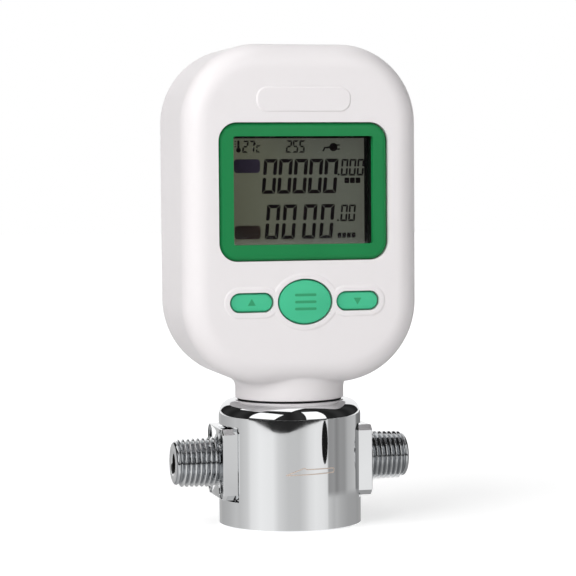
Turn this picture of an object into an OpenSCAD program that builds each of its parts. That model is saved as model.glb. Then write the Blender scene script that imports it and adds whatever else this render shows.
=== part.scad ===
// Battery powered gas flow meter: a display head that turns on a plated flow body,
// with a threaded fitting bolted to each side of the body.
// Lengths are in millimetres. The origin is the centre of the base, the gas flows
// towards -X, the display faces -Y and Z points up.

/* [Flow body] */
// Diameter of the plated flow body
body_d = 40.3; // [39:0.5:43]
// Height of the flow body
body_h = 35; // [34.5:0.5:40]
// Radius of the rounded shoulder of the body
shoulder_r = 4.4; // [3:0.1:4.5]
// Height of the flow axis above the base
port_z = 17.8; // [17:0.1:18]
// Diameter of the flow channel through the body
channel_d = 8; // [7:0.1:8.4]

/* [Fittings] */
// Side of the square flange
flange_side = 19.8; // [19.6:0.1:21]
// Thickness of the flange
flange_t = 4.9; // [4.5:0.1:6]
// Depth of the flange seat below the crown of the body
seat_depth = 3.6; // [3:0.1:4]
// Length of the threaded nipple outside the flange
nipple_len = 12.1; // [11.5:0.1:16]
// Diameter of the gas bore in the fitting
port_bore_d = 5.5; // [4:0.1:6.4]
// Outside diameter of the taper thread at its small end
thread_tip_d = 13.25; // [12.8:0.05:13.6]
// Thread pitch, 18 threads per inch
thread_pitch = 1.411; // [1.2:0.001:1.5]

/* [Head] */
// Width of the display head
head_w = 66.4; // [66:0.2:70]
// Height of the display head without its neck
head_h = 93.6; // [93:0.2:98]
// Depth of the head in front of the swivel axis
head_front = 18.2; // [18:0.1:20]
// Depth of the head behind the swivel axis
head_back = 20.3; // [20:0.1:23]
// Corner radius at the top of the head
head_top_r = 21.5; // [20:0.5:23]
// Corner radius at the bottom of the head
head_low_r = 22.5; // [21:0.5:24]
// Radius of the rounded front edge
front_edge_r = 6.8; // [5:0.1:7]
// Radius of the rounded back edge
back_edge_r = 5.5; // [4:0.1:5.6]
// Wall of the two shells
shell_wall = 2.2; // [1.8:0.1:2.4]
// Distance of the parting plane behind the swivel axis
seam_y = 9; // [8:0.5:10]

/* [Neck] */
// Outside diameter of the neck under the head
neck_d = 30.5; // [30.2:0.1:31]
// Length of the neck between the body and the head
neck_len = 4.5; // [4:0.1:7]
// Gap between the neck and the body, filled by the seal
neck_gap = 0.4; // [0.3:0.05:0.6]
// Outside diameter of the swivel spigot
spigot_d = 24.6; // [24.4:0.1:25]

/* [Display] */
// Width of the green bezel
bezel_w = 47.5; // [46:0.1:49]
// Height of the green bezel
bezel_h = 37.5; // [36:0.1:38]
// Corner radius of the bezel
bezel_r = 5; // [3:0.1:7]
// Width of the display window
window_w = 39.3; // [36:0.1:40]
// Height of the display window
window_h = 29.5; // [27:0.1:30]
// Height of the window's centre above the bottom of the head
window_up = 53.6; // [53:0.1:54]
// Depth of the bezel's face behind the front of the head
bezel_drop = 0.4; // [0.2:0.1:0.8]
// Depth of the display glass behind the bezel's face
glass_drop = 6.2; // [5.6:0.1:6.6]

/* [Keys] */
// Width of the oval menu key
menu_w = 14.8; // [13:0.1:15.2]
// Height of the oval menu key
menu_h = 11.9; // [10:0.1:12.4]
// Length of the pill shaped arrow keys
arrow_w = 11.6; // [10:0.1:12]
// Height of the pill shaped arrow keys
arrow_h = 4.7; // [4.2:0.1:6]
// Distance of an arrow key's centre from the middle
arrow_x = 14.95; // [14.9:0.05:15.1]
// Height of the keys above the bottom of the head
keys_up = 23.2; // [22.5:0.1:24]
// Travel of a key
key_travel = 0.5; // [0.3:0.05:0.6]

/* [Battery bay] */
// Diameter of a cell
cell_d = 14.2; // [13.8:0.1:14.3]
// Length of a cell with its button
cell_len = 50.5; // [49:0.1:50.6]
// Spacing of the cells
cell_pitch = 14.4; // [14.35:0.05:14.5]
// Number of cells, laid flat above each other
cell_count = 4; // [2:1:4]
// Opening angle of the battery door, drawn closed at zero
door_open = 0; // [0:5:90]

/* [Power inlet] */
// Distance of the power jack from the middle of the head
jack_x = 10.5; // [10:0.1:10.6]
// Height of the power jack above the bottom of the head
jack_up = 10.5; // [10.3:0.1:10.8]
// Diameter of the jack's barrel
jack_d = 8; // [7.6:0.1:8.4]

/* [Hidden] */
$fn = 64;

// Overrun of every cut
cut = 1;
// Depth to which a post or rib reaches into the wall that carries it
root = 0.5;
// Gap of parts that are pushed together
fit = 0.05;
// Radial clearance of a running fit
run_gap = 0.06;
// Gap round a key and between a door and its opening
side_gap = 0.3;

// Flow body
body_r = body_d / 2;
base_chamfer = 0.4;
seat_x = body_r - seat_depth;
seat_gap = 0.5;
seat_side = flange_side + 2 * seat_gap;
socket_depth = 4;
socket_z = body_h - socket_depth;
sensor_room_r = 5.8;
sensor_room_depth = 6;
sensor_room_z = socket_z - sensor_room_depth;
sensor_bore_r = 4.15;

// Fittings
face_x = seat_x + flange_t;
port_bore_r = port_bore_d / 2;
flange_chamfer = 1.5;
pilot_r = 5.5;
pilot_len = 2;
thread_depth = 1.13;
thread_taper = 1 / 16;
thread_start = 1.1;
thread_tip_face_r = 6.05;
crest_share = 0.12;
thread_r = thread_tip_d / 2;
thread_relief_r = 6;
seal_inner_r = 5.95;
seal_w = 1.7;
seal_h = 1.3;
flange_screw_at = 6.8;
flange_screw_r = 1.5;
flange_screw_len = 5.2;
flange_head_r = 2.75;
flange_head_h = 3;
flange_head_gap = 0.15;
flange_key_r = 1.45;
flange_key_depth = 1.5;

// Screens and sensor
screen_r = channel_d / 2 - fit;
screen_t = 0.4;
screen_hole_r = 0.4;
screen_rings = 2;
screen_hole_pitch = 1.4;
spacer_len = 2.4;
screen_x = seat_x - pilot_len - spacer_len - screen_t;
spacer_wall = 0.6;
carrier_r = sensor_bore_r - run_gap;
carrier_flange_r = sensor_room_r - run_gap;
carrier_flange_t = 1.6;
sensor_seal_h = 0.8;
sensor_seal_w = 1.2;
blade_w = 4.2;
blade_t = 0.6;
blade_tip_below = 0.6;
board_disc_r = 5.5;
board_disc_t = 1;
socket_size = [5, 3.6];
carrier_z = sensor_room_z + sensor_seal_h;
sensor_board_z = carrier_z + carrier_flange_t;
sensor_socket_z = sensor_board_z + board_disc_t;

// Neck and swivel
neck_r = neck_d / 2;
spigot_r = spigot_d / 2;
spigot_wall = 1.9;
spigot_floor = 2.4;
spigot_screw_at = 7.9;
spigot_screw_r = 1.25;
spigot_screw_len = 7;
spigot_head_r = 2.2;
spigot_head_h = 1.8;
spigot_screws_n = 3;
cable_r = 1.5;
cable_hole_r = 3;
neck_seal_inner_r = 12.9;
neck_seal_w = 1.7;
neck_seal_h = 0.9;
neck_seal_depth = 0.6;
neck_z = body_h + neck_gap;
head_z = neck_z + neck_len;
floor_z = head_z + shell_wall;
nut_gap = 0.15;
nut_z = floor_z + nut_gap;
nut_t = 2.1;
nut_r = 13.6;
pocket_r = 14.9;
pocket_h = 3.4;
nut_tab_r = 14.6;
nut_tab_w = 3.6;
stop_rib_w = 3.2;
stop_rib_inner_r = 13.9;
stop_angle = 15;

// Head shells
head_top = head_z + head_h;
front_in = -head_front + shell_wall;
back_in = head_back - shell_wall;
corner_steps = 16;
edge_steps = 7;
gasket_w = 0.8;
gasket_inset = 0.7;
gasket_t = 0.6;
boss_r = 3;
boss_top_x = 20;
boss_top_down = 13;
boss_low_x = 19;
boss_low_up = 12.1;
shell_screw_r = 1.5;
shell_screw_len = 18;
shell_head_r = 2.6;
shell_head_h = 2.2;
shell_head_drop = 1.2;
pad_proud = 0.25;
pad_margin = 1.7;
plaque_w = 25.7;
plaque_h = 6;
plaque_r = 2.6;
plaque_up = 78.35;
plaque_proud = 0.3;

// Display, from the front to the board
window_z = head_z + window_up;
bezel_shift = 0.35;
bezel_z = window_z - bezel_shift;
bezel_y = -head_front + bezel_drop;
bezel_gap = 0.12;
lip_w = 1.3;
lip_t = 1.3;
lens_t = 1.2;
lens_margin = 2;
window_r = 0.6;
lip_back = front_in + lip_t;
glass_y = bezel_y + glass_drop;
glass_t = 2.4;
light_t = 2.8;
board_y = glass_y + glass_t + light_t;
board_t = 1.6;
board_back = board_y + board_t;
frame_w = 48;
frame_h = 38;
frame_mouth = 0.9;
glass_w = 42.6;
glass_h = 35.2;
light_w = 42;
light_pin_room = 1.8;
light_h = glass_h - light_pin_room;
frame_room_gap = 0.3;
pin_side = 0.5;
pin_pitch = 2;
pin_count = 16;
pin_up = 0.6;

// Main board
board_w = 54;
board_top_down = 16.5;
board_shoulder_up = 17;
board_low_up = 8.2;
board_tab_w = 29;
board_post_r = 2.2;
board_post_x = 24.3;
board_post_top_down = 18.1;
board_post_low_up = 19.8;
board_screw_r = 1;
board_screw_len = 5;
board_head_r = 1.9;
board_head_h = 1.3;
chip_t = 1.2;
plug_w = 8;
plug_h = 5;
plug_up = 9.7;
// Chips on the back of the board, as [x share, z share, width share, height share] of the board's width
chip_shares = [
    [-0.1, 0.55, 0.26, 0.26],
    [0.26, 0.62, 0.15, 0.11],
    [-0.33, 0.28, 0.12, 0.16],
    [0.2, 0.3, 0.2, 0.12],
    [-0.36, 0.72, 0.08, 0.2]
];

// Keys
menu_proud = 0.6;
arrow_drop = 0.3;
menu_dome_r = 42;
key_flange = 0.55;
key_flange_t = 1;
key_back_gap = 0.1;
stem_r = 2;
mark_depth = 0.25;
arrow_mark_r = 1.1;
bar_w = 6;
bar_h = 0.7;
bar_pitch = 1.9;
switch_side = 6;
switch_h = 3.5;
plunger_r = 1.75;
plunger_out = 1.5;
plunger_in = 1.5;
plunger_end_gap = 0.6;
plunger_well = plunger_in + key_travel + plunger_end_gap;

// Battery bay
tray_y = 1.2;
tray_floor = 1.2;
tray_side_wall = 1;
tray_end_wall = 1.2;
tray_end_gap = 0.2;
tray_side_drop = 1.6;
tray_end_w = 52;
cell_gap = 0.2;
cell_button_r = 2.75;
cell_button_h = 1;
contact_t = 0.4;
contact_side = 9;
spring_len = 3.9;
spring_big_r = 3.2;
spring_small_r = 2.4;
cradle_w = 2;
cradle_h = 2;
bay_up = 46.6;
bay_z = head_z + bay_up;
bay_h = cell_count * cell_pitch;
most_cells = 4;
room_h = most_cells * cell_pitch + 2 * tray_end_gap;
tray_in_w = cell_len + spring_len + 2 * contact_t + fit;
tray_w = tray_in_w + 2 * tray_side_wall;
cell_y = tray_y + tray_floor + cell_gap + cell_d / 2;
button_end_x = cell_len + spring_len - tray_in_w / 2 + contact_t;
lead_r = 0.5;
lead_x = 3;

// Battery door
door_wall = shell_wall;
door_hole_w = 53.8;
door_hole_h = room_h - 2 * side_gap;
door_w = door_hole_w - 2 * side_gap;
door_h = door_hole_h - 2 * side_gap;
door_pin_r = 0.7;
door_pin_len = 1.6;
door_axis_y = head_back - door_wall / 2;
door_axis_z = bay_z + door_h / 2 - door_wall / 2;
notch_r = 7;
notch_depth = 1.5;
grip_ribs = 5;
grip_pitch = 2.2;
grip_w = 18;
grip_depth = 0.4;
grip_up = 6;

// Power jack
jack_r = jack_d / 2;
jack_z = head_z + jack_up;
jack_flange_r = 5;
jack_flange_t = 1.1;
jack_recess_r = 5.2;
jack_recess = 1.2;
jack_len = 12;
jack_hole_r = 2.8;
jack_hole_len = 9;
jack_pin_r = 1.05;
jack_nut_t = 2;
jack_nut_r = 5;
jack_lug_len = 3;
jack_lug_t = 0.6;
jack_lug_w = 2;
jack_lug_x = 1.6;

// Colours
shell_white = "#e9e5e5";
bezel_green = "#24864f";
key_green = "#3cc387";
plated = "#c8cace";
seal_black = "#2a2a2c";
steel = "#b4b7ba";
board_green = "#2f6b45";
chip_black = "#26282b";

// Points of an arc about a centre
function arc(c, r, from, to, steps) =
    [for (i = [0 : steps]) let (a = from + (to - from) * i / steps) c + r * [cos(a), sin(a)]];

// Outline of a rectangle with round corners, centred
function round_rect(w, h, r, steps = 8) = concat(
    arc([w / 2 - r, h / 2 - r], r, 0, 90, steps),
    arc([r - w / 2, h / 2 - r], r, 90, 180, steps),
    arc([r - w / 2, r - h / 2], r, 180, 270, steps),
    arc([w / 2 - r, r - h / 2], r, 270, 360, steps)
);

// Outline of a square with its corners cut off
function cut_square(side, c) = [
    for (q = [0 : 3]) for (p = [[side / 2, side / 2 - c], [side / 2 - c, side / 2]])
        [p.x * cos(90 * q) - p.y * sin(90 * q), p.x * sin(90 * q) + p.y * cos(90 * q)]
];

// Outline of an oval with half axes a and b
function oval(a, b, steps = 64) =
    [for (i = [0 : steps - 1]) let (t = 360 * i / steps) [a * cos(t), b * sin(t)]];

// Outline of the head in the XZ plane, moved inwards by the inset
function head_outline(inset) = concat(
    arc([head_w / 2 - head_top_r, head_top - head_top_r], head_top_r - inset, 0, 90, corner_steps),
    arc([head_top_r - head_w / 2, head_top - head_top_r], head_top_r - inset, 90, 180, corner_steps),
    arc([head_low_r - head_w / 2, head_z + head_low_r], head_low_r - inset, 180, 270, corner_steps),
    arc([head_w / 2 - head_low_r, head_z + head_low_r], head_low_r - inset, 270, 360, corner_steps)
);

// A round bar along X between two places
module bar_x(r, x0, x1) {
    translate([x0, 0, 0])
        rotate([0, 90, 0])
            cylinder(r = r, h = x1 - x0);
}

// A round bar along Y between two places
module bar_y(r, y0, y1) {
    translate([0, y0, 0])
        rotate([-90, 0, 0])
            cylinder(r = r, h = y1 - y0);
}

// An outline in the XZ plane, thick along Y
module plate_y(points, y0, y1) {
    translate([0, y1, 0])
        rotate([90, 0, 0])
            linear_extrude(height = y1 - y0)
                polygon(points);
}

// A block from one corner to the other
module block(low, high) {
    translate(low)
        cube(high - low);
}

// A flattened sealing ring lying in the XY plane
module seal_ring(inner_r, w, h) {
    rotate_extrude() {
        translate([inner_r + h / 2, 0])
            square([w - h, h]);
        translate([inner_r + h / 2, h / 2])
            circle(h / 2);
        translate([inner_r + w - h / 2, h / 2])
            circle(h / 2);
    }
}

// A screw standing on its tip, with its socket or slot on top
module socket_screw(r, len, head_r, head_h, key_r, key_depth) {
    difference() {
        union() {
            cylinder(r = r, h = len + root);
            translate([0, 0, len])
                cylinder(r = head_r, h = head_h);
        }
        translate([0, 0, len + head_h - key_depth])
            cylinder(r = key_r, h = key_depth + cut, $fn = 6);
    }
}

// Places children at the four flange screws of the inlet side
module at_flange_screws() {
    for (sy = [-1, 1], sz = [-1, 1])
        translate([0, sy * flange_screw_at, port_z + sz * flange_screw_at])
            children();
}

// Plated block with the flow channel, two flange seats and the sensor room
module flow_body() {
    color(plated)
        difference() {
            union() {
                translate([0, 0, base_chamfer])
                    cylinder(r = body_r, h = body_h - shoulder_r - base_chamfer);
                cylinder(r1 = body_r - base_chamfer, r2 = body_r, h = base_chamfer);
                cylinder(r = body_r - shoulder_r, h = body_h);
                translate([0, 0, body_h - shoulder_r])
                    rotate_extrude()
                        translate([body_r - shoulder_r, 0])
                            circle(shoulder_r);
            }
            translate([0, 0, port_z])
                bar_x(channel_d / 2, -body_r, body_r);
            for (side = [0, 1])
                mirror([side, 0, 0])
                    flange_seat();
            translate([0, 0, socket_z])
                cylinder(r = spigot_r + fit, h = socket_depth + cut);
            translate([0, 0, sensor_room_z])
                cylinder(r = sensor_room_r, h = sensor_room_depth + cut);
            translate([0, 0, port_z])
                cylinder(r = sensor_bore_r, h = sensor_room_z - port_z + cut);
            for (i = [0 : spigot_screws_n - 1])
                rotate([0, 0, 90 + 360 * i / spigot_screws_n])
                    translate([spigot_screw_at, 0, socket_z - spigot_screw_len + spigot_floor])
                        cylinder(r = spigot_screw_r + fit, h = spigot_screw_len);
            translate([0, 0, body_h - neck_seal_depth])
                difference() {
                    cylinder(r = neck_seal_inner_r + neck_seal_w + fit, h = neck_seal_depth + cut);
                    cylinder(r = neck_seal_inner_r - fit, h = neck_seal_depth + cut);
                }
        }
}

// Flat seat of the inlet flange with its pilot bore, seal groove and screw holes
module flange_seat() {
    translate([seat_x, -seat_side / 2, port_z - seat_side / 2])
        cube([seat_depth + cut, seat_side, seat_side]);
    translate([0, 0, port_z])
        bar_x(pilot_r + fit, seat_x - pilot_len - fit, seat_x + cut);
    translate([0, 0, port_z])
        difference() {
            bar_x(seal_inner_r + seal_w + fit, seat_x - seal_h, seat_x + cut);
            bar_x(seal_inner_r - fit, seat_x - seal_h, seat_x + cut);
        }
    at_flange_screws()
        bar_x(flange_screw_r + fit, seat_x - flange_screw_len - fit, seat_x + cut);
}

// Radius of the thread's crest at a distance from the tip of the nipple
function crest_r(from_tip) = thread_r + from_tip * thread_taper / 2;

// Half section of the nipple as [radius, distance from the flange]
function nipple_section() = let (
    turns = floor((nipple_len - 2 * thread_start) / thread_pitch),
    first = nipple_len - thread_start - turns * thread_pitch
) concat(
    [[0, -root], [thread_relief_r, -root], [thread_relief_r, 0]],
    [for (i = [0 : turns - 1]) for (p = [
        [0, -1], [0.5 - crest_share, 0], [0.5 + crest_share, 0]
    ])
        let (at = first + (i + p[0]) * thread_pitch, top = crest_r(nipple_len - at))
            [top + p[1] * thread_depth, at]],
    [[crest_r(thread_start) - thread_depth, nipple_len - thread_start]],
    [[crest_r(thread_start) - thread_depth / 2, nipple_len - thread_start / 2]],
    [[thread_tip_face_r - thread_start / 2, nipple_len], [0, nipple_len]]
);

// Flange with a threaded nipple, drawn for the inlet side at +X
module fitting() {
    difference() {
        union() {
            translate([seat_x, 0, port_z])
                rotate([90, 0, 90])
                    linear_extrude(height = flange_t)
                        polygon(cut_square(flange_side, flange_chamfer));
            translate([face_x, 0, port_z])
                rotate([0, 90, 0])
                    rotate_extrude()
                        polygon(nipple_section());
            translate([0, 0, port_z])
                bar_x(pilot_r, seat_x - pilot_len, seat_x + root);
        }
        translate([0, 0, port_z])
            bar_x(port_bore_r, seat_x - pilot_len - cut, face_x + nipple_len + cut);
        at_flange_screws()
            bar_x(flange_screw_r + fit, seat_x - cut, face_x);
        at_flange_screws()
            bar_x(flange_head_r + flange_head_gap, face_x - flange_head_h - flange_head_gap, face_x + cut);
    }
}

module inlet_fitting() {
    color(plated)
        fitting();
}

module outlet_fitting() {
    color(plated)
        mirror([1, 0, 0])
            fitting();
}

// Sealing rings in the grooves of both seats
module fitting_seals() {
    color(seal_black)
        for (side = [0, 1])
            mirror([side, 0, 0])
                translate([seat_x - seal_h, 0, port_z])
                    rotate([0, 90, 0])
                        seal_ring(seal_inner_r, seal_w, seal_h);
}

// Four cap screws on each flange
module flange_screws() {
    color(steel)
        for (side = [0, 1])
            mirror([side, 0, 0])
                at_flange_screws()
                    translate([face_x - flange_head_h - flange_head_gap - flange_screw_total(), 0, 0])
                        rotate([0, 90, 0])
                            socket_screw(flange_screw_r, flange_screw_total(), flange_head_r,
                                flange_head_h, flange_key_r, flange_key_depth);
}

// Shank length of a flange screw, from under its head to its tip in the body
function flange_screw_total() = flange_t - flange_head_h - flange_head_gap + flange_screw_len;

// Two drilled discs that straighten the flow ahead of the sensor
module flow_screens() {
    color(steel)
        for (i = [0, 1])
            translate([screen_x - i * (screen_t + spacer_len), 0, port_z])
                rotate([0, 90, 0])
                    difference() {
                        cylinder(r = screen_r, h = screen_t);
                        translate([0, 0, -cut])
                            cylinder(r = screen_hole_r, h = screen_t + 2 * cut);
                        for (ring = [1 : screen_rings])
                            for (k = [0 : 6 * ring - 1])
                                rotate([0, 0, 60 * k / ring])
                                    translate([ring * screen_hole_pitch, 0, -cut])
                                        cylinder(r = screen_hole_r, h = screen_t + 2 * cut);
                    }
}

// Rings that space the screens and hold them against the inlet
module screen_spacers() {
    color(steel)
        translate([0, 0, port_z])
            for (x = [screen_x + screen_t, screen_x - spacer_len])
                difference() {
                    bar_x(screen_r, x, x + spacer_len);
                    bar_x(screen_r - spacer_wall, x - cut, x + spacer_len + cut);
                }
}

// Plug that closes the sensor bore and holds the blade
module sensor_carrier() {
    color("#3a3d42")
        difference() {
            union() {
                translate([0, 0, carrier_bottom()])
                    cylinder(r = carrier_r, h = carrier_z - carrier_bottom() + root);
                translate([0, 0, carrier_z])
                    cylinder(r = carrier_flange_r, h = carrier_flange_t);
            }
            translate([-blade_w / 2 - fit, -blade_t / 2 - fit, carrier_bottom() - cut])
                cube([blade_w + 2 * fit, blade_t + 2 * fit, sensor_board_z - carrier_bottom() + 2 * cut]);
        }
}

// Lower end of the sensor carrier, just above the flow channel
function carrier_bottom() = port_z + channel_d / 2;

// Sealing ring under the flange of the carrier
module sensor_seal() {
    color(seal_black)
        translate([0, 0, sensor_room_z])
            seal_ring(sensor_bore_r + fit, sensor_seal_w, sensor_seal_h);
}

// Thin board with the sensing chip, standing in the flow
module sensor_blade() {
    color(board_green)
        translate([-blade_w / 2, -blade_t / 2, port_z - blade_tip_below])
            cube([blade_w, blade_t, sensor_board_z - port_z + blade_tip_below]);
    color(chip_black)
        translate([0, -blade_t / 2, port_z + blade_w / 4])
            bar_y(blade_w / 4, -blade_t / 2, root - blade_t / 2);
}

// Round amplifier board above the carrier
module sensor_board() {
    color(board_green)
        translate([0, 0, sensor_board_z])
            cylinder(r = board_disc_r, h = board_disc_t);
}

// Socket on the amplifier board, under the cable hole
module sensor_socket() {
    color("#e8e2d0")
        translate([-socket_size[0] / 2, -socket_size[1] / 2, sensor_socket_z])
            cube([socket_size[0], socket_size[1], socket_z - fit - sensor_socket_z]);
}

// Cup that is screwed into the body and carries the head
module swivel_spigot() {
    color("#5c6066")
        difference() {
            translate([0, 0, socket_z])
                cylinder(r = spigot_r, h = nut_z + nut_t + root - socket_z);
            translate([0, 0, socket_z + spigot_floor])
                cylinder(r = spigot_r - spigot_wall, h = head_top);
            translate([0, 0, socket_z - cut])
                cylinder(r = cable_hole_r, h = spigot_floor + 2 * cut);
            for (i = [0 : spigot_screws_n - 1])
                rotate([0, 0, 90 + 360 * i / spigot_screws_n])
                    translate([spigot_screw_at, 0, socket_z - cut])
                        cylinder(r = spigot_screw_r + fit, h = spigot_floor + 2 * cut);
        }
}

// Screws that hold the cup to the body
module spigot_screws() {
    color(steel)
        for (i = [0 : spigot_screws_n - 1])
            rotate([0, 0, 90 + 360 * i / spigot_screws_n])
                translate([spigot_screw_at, 0, socket_z + spigot_floor - spigot_screw_len + fit])
                    socket_screw(spigot_screw_r, spigot_screw_len - fit, spigot_head_r,
                        spigot_head_h, spigot_screw_r, spigot_head_h / 2);
}

// Dark ring in the seam between the neck and the body
module neck_seal() {
    color(seal_black)
        translate([0, 0, body_h - neck_seal_depth])
            seal_ring(neck_seal_inner_r, neck_seal_w, neck_seal_h);
}

// Ring nut inside the head, with the tab that stops the swivel
module swivel_nut() {
    color(steel)
        difference() {
            union() {
                translate([0, 0, nut_z])
                    cylinder(r = nut_r, h = nut_t);
                translate([-nut_tab_w / 2, 0, nut_z])
                    cube([nut_tab_w, nut_tab_r, nut_t]);
            }
            translate([0, 0, nut_z - cut])
                cylinder(r = spigot_r + fit, h = nut_t + 2 * cut);
        }
}

// Disc with one rounded rim, a corner of the head before it is joined to the others
module rim_disc(r, edge_r, depth) {
    rotate_extrude($fn = 4 * corner_steps)
        polygon(concat(
            [[0, 0]],
            [for (i = [0 : edge_steps]) let (a = 90 * i / edge_steps)
                [r - edge_r + edge_r * sin(a), edge_r - edge_r * cos(a)]],
            [[r, depth], [0, depth]]
        ));
}

// The four corners of the head, drawn one after the other
module head_corners(inset, edge_r, depth) {
    for (sx = [-1, 1]) {
        translate([sx * (head_w / 2 - head_top_r), 0, head_top - head_top_r])
            rotate([-90, 0, 0])
                rim_disc(head_top_r - inset, edge_r, depth);
        translate([sx * (head_w / 2 - head_low_r), 0, head_z + head_low_r])
            rotate([-90, 0, 0])
                rim_disc(head_low_r - inset, edge_r, depth);
    }
}

// Front part of the head's form, inset from its outside
module front_form(inset, depth) {
    translate([0, inset - head_front, 0])
        hull()
            head_corners(inset, front_edge_r - inset, depth);
}

// Back part of the head's form, inset from its outside
module back_form(inset, depth) {
    translate([0, head_back - inset, 0])
        mirror([0, 1, 0])
            hull()
                head_corners(inset, back_edge_r - inset, depth);
}

// Places children at the four case screws
module at_bosses() {
    for (sx = [-1, 1]) {
        translate([sx * boss_top_x, 0, head_top - boss_top_down])
            children();
        translate([sx * boss_low_x, 0, head_z + boss_low_up])
            children();
    }
}

// Places children at the four posts of the main board
module at_board_posts() {
    for (sx = [-1, 1]) {
        translate([sx * board_post_x, 0, head_top - board_post_top_down])
            children();
        translate([sx * board_post_x, 0, head_z + board_post_low_up])
            children();
    }
}

// Bore of the neck with the pocket of the ring nut above it
module neck_bore() {
    translate([0, 0, neck_z - cut])
        cylinder(r = spigot_r + run_gap, h = floor_z - neck_z + 2 * cut);
    translate([0, 0, floor_z])
        cylinder(r = pocket_r, h = pocket_h);
}

// Outline of an arrow key, grown by a margin
function pill(margin) = round_rect(arrow_w + 2 * margin, arrow_h + 2 * margin, arrow_h / 2 + margin);

// Openings of the three keys, larger than the keys by a margin
module key_outlines(margin, y0, y1) {
    translate([0, 0, head_z + keys_up]) {
        plate_y(oval(menu_w / 2 + margin, menu_h / 2 + margin), y0, y1);
        for (sx = [-1, 1])
            translate([sx * arrow_x, 0, 0])
                plate_y(pill(margin), y0, y1);
    }
}

// Front half of the case with the neck's front part, bosses and posts
module front_shell() {
    color(shell_white)
        difference() {
            union() {
                difference() {
                    union() {
                        front_form(0, head_front + seam_y);
                        intersection() {
                            translate([0, 0, neck_z])
                                cylinder(r = neck_r, h = floor_z - neck_z);
                            block([-neck_r, -neck_r, neck_z], [neck_r, seam_y, floor_z]);
                        }
                    }
                    front_form(shell_wall, head_front + seam_y);
                }
                at_bosses()
                    bar_y(boss_r, front_in - root, seam_y);
                at_board_posts()
                    bar_y(board_post_r, front_in - root, board_y);
                key_outlines(pad_margin, -head_front - pad_proud, root - head_front);
                translate([0, 0, head_z + plaque_up])
                    plate_y(round_rect(plaque_w, plaque_h, plaque_r),
                        -head_front - plaque_proud, root - head_front);
            }
            key_outlines(side_gap, -head_front - cut, front_in + cut);
            translate([0, 0, bezel_z])
                plate_y(round_rect(bezel_w + 2 * bezel_gap, bezel_h + 2 * bezel_gap, bezel_r + bezel_gap),
                    -head_front - cut, front_in + cut);
            neck_bore();
            at_bosses()
                bar_y(shell_screw_r + fit, shell_screw_tip() - fit, seam_y + cut);
            at_board_posts()
                bar_y(board_screw_r + fit, board_y - board_screw_len, board_y + cut);
            difference() {
                plate_y(head_outline(gasket_inset), seam_y - gasket_t, seam_y + cut);
                plate_y(head_outline(gasket_inset + gasket_w), seam_y - gasket_t - cut, seam_y + 2 * cut);
            }
        }
    color(shell_white)
        for (side = [0, 1])
            mirror([side, 0, 0])
                swivel_stop();
}

// Rib beside the nut's pocket that stops the tab
module swivel_stop() {
    rotate([0, 0, -stop_angle])
        block([stop_rib_inner_r, -stop_rib_w / 2, floor_z - root],
            [pocket_r + root, stop_rib_w / 2, nut_z + nut_t]);
}

function shell_head_y() = head_back - shell_head_drop - shell_head_h;

function shell_screw_tip() = shell_head_y() - shell_screw_len;

// Back half of the case with the openings for the door and the jack
module back_shell() {
    color(shell_white)
        difference() {
            union() {
                difference() {
                    union() {
                        back_form(0, head_back - seam_y);
                        intersection() {
                            translate([0, 0, neck_z])
                                cylinder(r = neck_r, h = floor_z - neck_z);
                            block([-neck_r, seam_y, neck_z], [neck_r, neck_r, floor_z]);
                        }
                    }
                    back_form(shell_wall, head_back - seam_y);
                }
                at_bosses()
                    bar_y(boss_r, seam_y, back_in + root);
            }
            neck_bore();
            at_bosses()
                bar_y(shell_screw_r + fit, seam_y - cut, head_back);
            at_bosses()
                bar_y(shell_head_r + fit, shell_head_y(), head_back + cut);
            block([-door_hole_w / 2, back_in - cut, bay_z - door_hole_h / 2],
                [door_hole_w / 2, head_back + cut, bay_z + door_hole_h / 2]);
            translate([0, door_axis_y, door_axis_z])
                bar_x(door_pin_r + fit, -door_w / 2 - door_pin_len - fit, door_w / 2 + door_pin_len + fit);
            translate([0, head_back + notch_r - notch_depth, bay_z - door_hole_h / 2])
                sphere(notch_r);
            translate([jack_x, 0, jack_z]) {
                bar_y(jack_r + fit, back_in - cut, head_back);
                bar_y(jack_recess_r, head_back - jack_recess, head_back + cut);
            }
        }
}

// Cord in the groove between the two shells
module shell_gasket() {
    color(seal_black)
        difference() {
            plate_y(head_outline(gasket_inset + fit), seam_y - gasket_t, seam_y);
            plate_y(head_outline(gasket_inset + gasket_w - fit), seam_y - gasket_t - cut, seam_y + cut);
            neck_bore();
        }
}

// Four screws that close the case from behind
module shell_screws() {
    color(steel)
        at_bosses()
            translate([0, shell_screw_tip(), 0])
                rotate([-90, 0, 0])
                    socket_screw(shell_screw_r, shell_screw_len, shell_head_r, shell_head_h,
                        shell_screw_r, shell_head_h / 2);
}

// Green frame of the window, held behind the front wall by its lip
module display_bezel() {
    color(bezel_green)
        difference() {
            translate([0, 0, bezel_z]) {
                plate_y(round_rect(bezel_w, bezel_h, bezel_r), bezel_y, lip_back);
                plate_y(round_rect(bezel_w + 2 * lip_w, bezel_h + 2 * lip_w, bezel_r + lip_w),
                    front_in, lip_back);
            }
            translate([0, 0, window_z]) {
                plate_y(round_rect(window_w, window_h, window_r), bezel_y - cut, lip_back + cut);
                plate_y(round_rect(lens_w() + 2 * fit, lens_h() + 2 * fit, window_r),
                    lip_back - lens_t, lip_back + cut);
            }
        }
}

function lens_w() = window_w + 2 * lens_margin;

function lens_h() = window_h + 2 * lens_margin;

// Clear pane in the rebate behind the bezel
module window_lens() {
    color("#cfe0dc", 0.3)
        translate([0, 0, window_z])
            plate_y(round_rect(lens_w(), lens_h(), window_r), lip_back - lens_t, lip_back);
}

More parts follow.
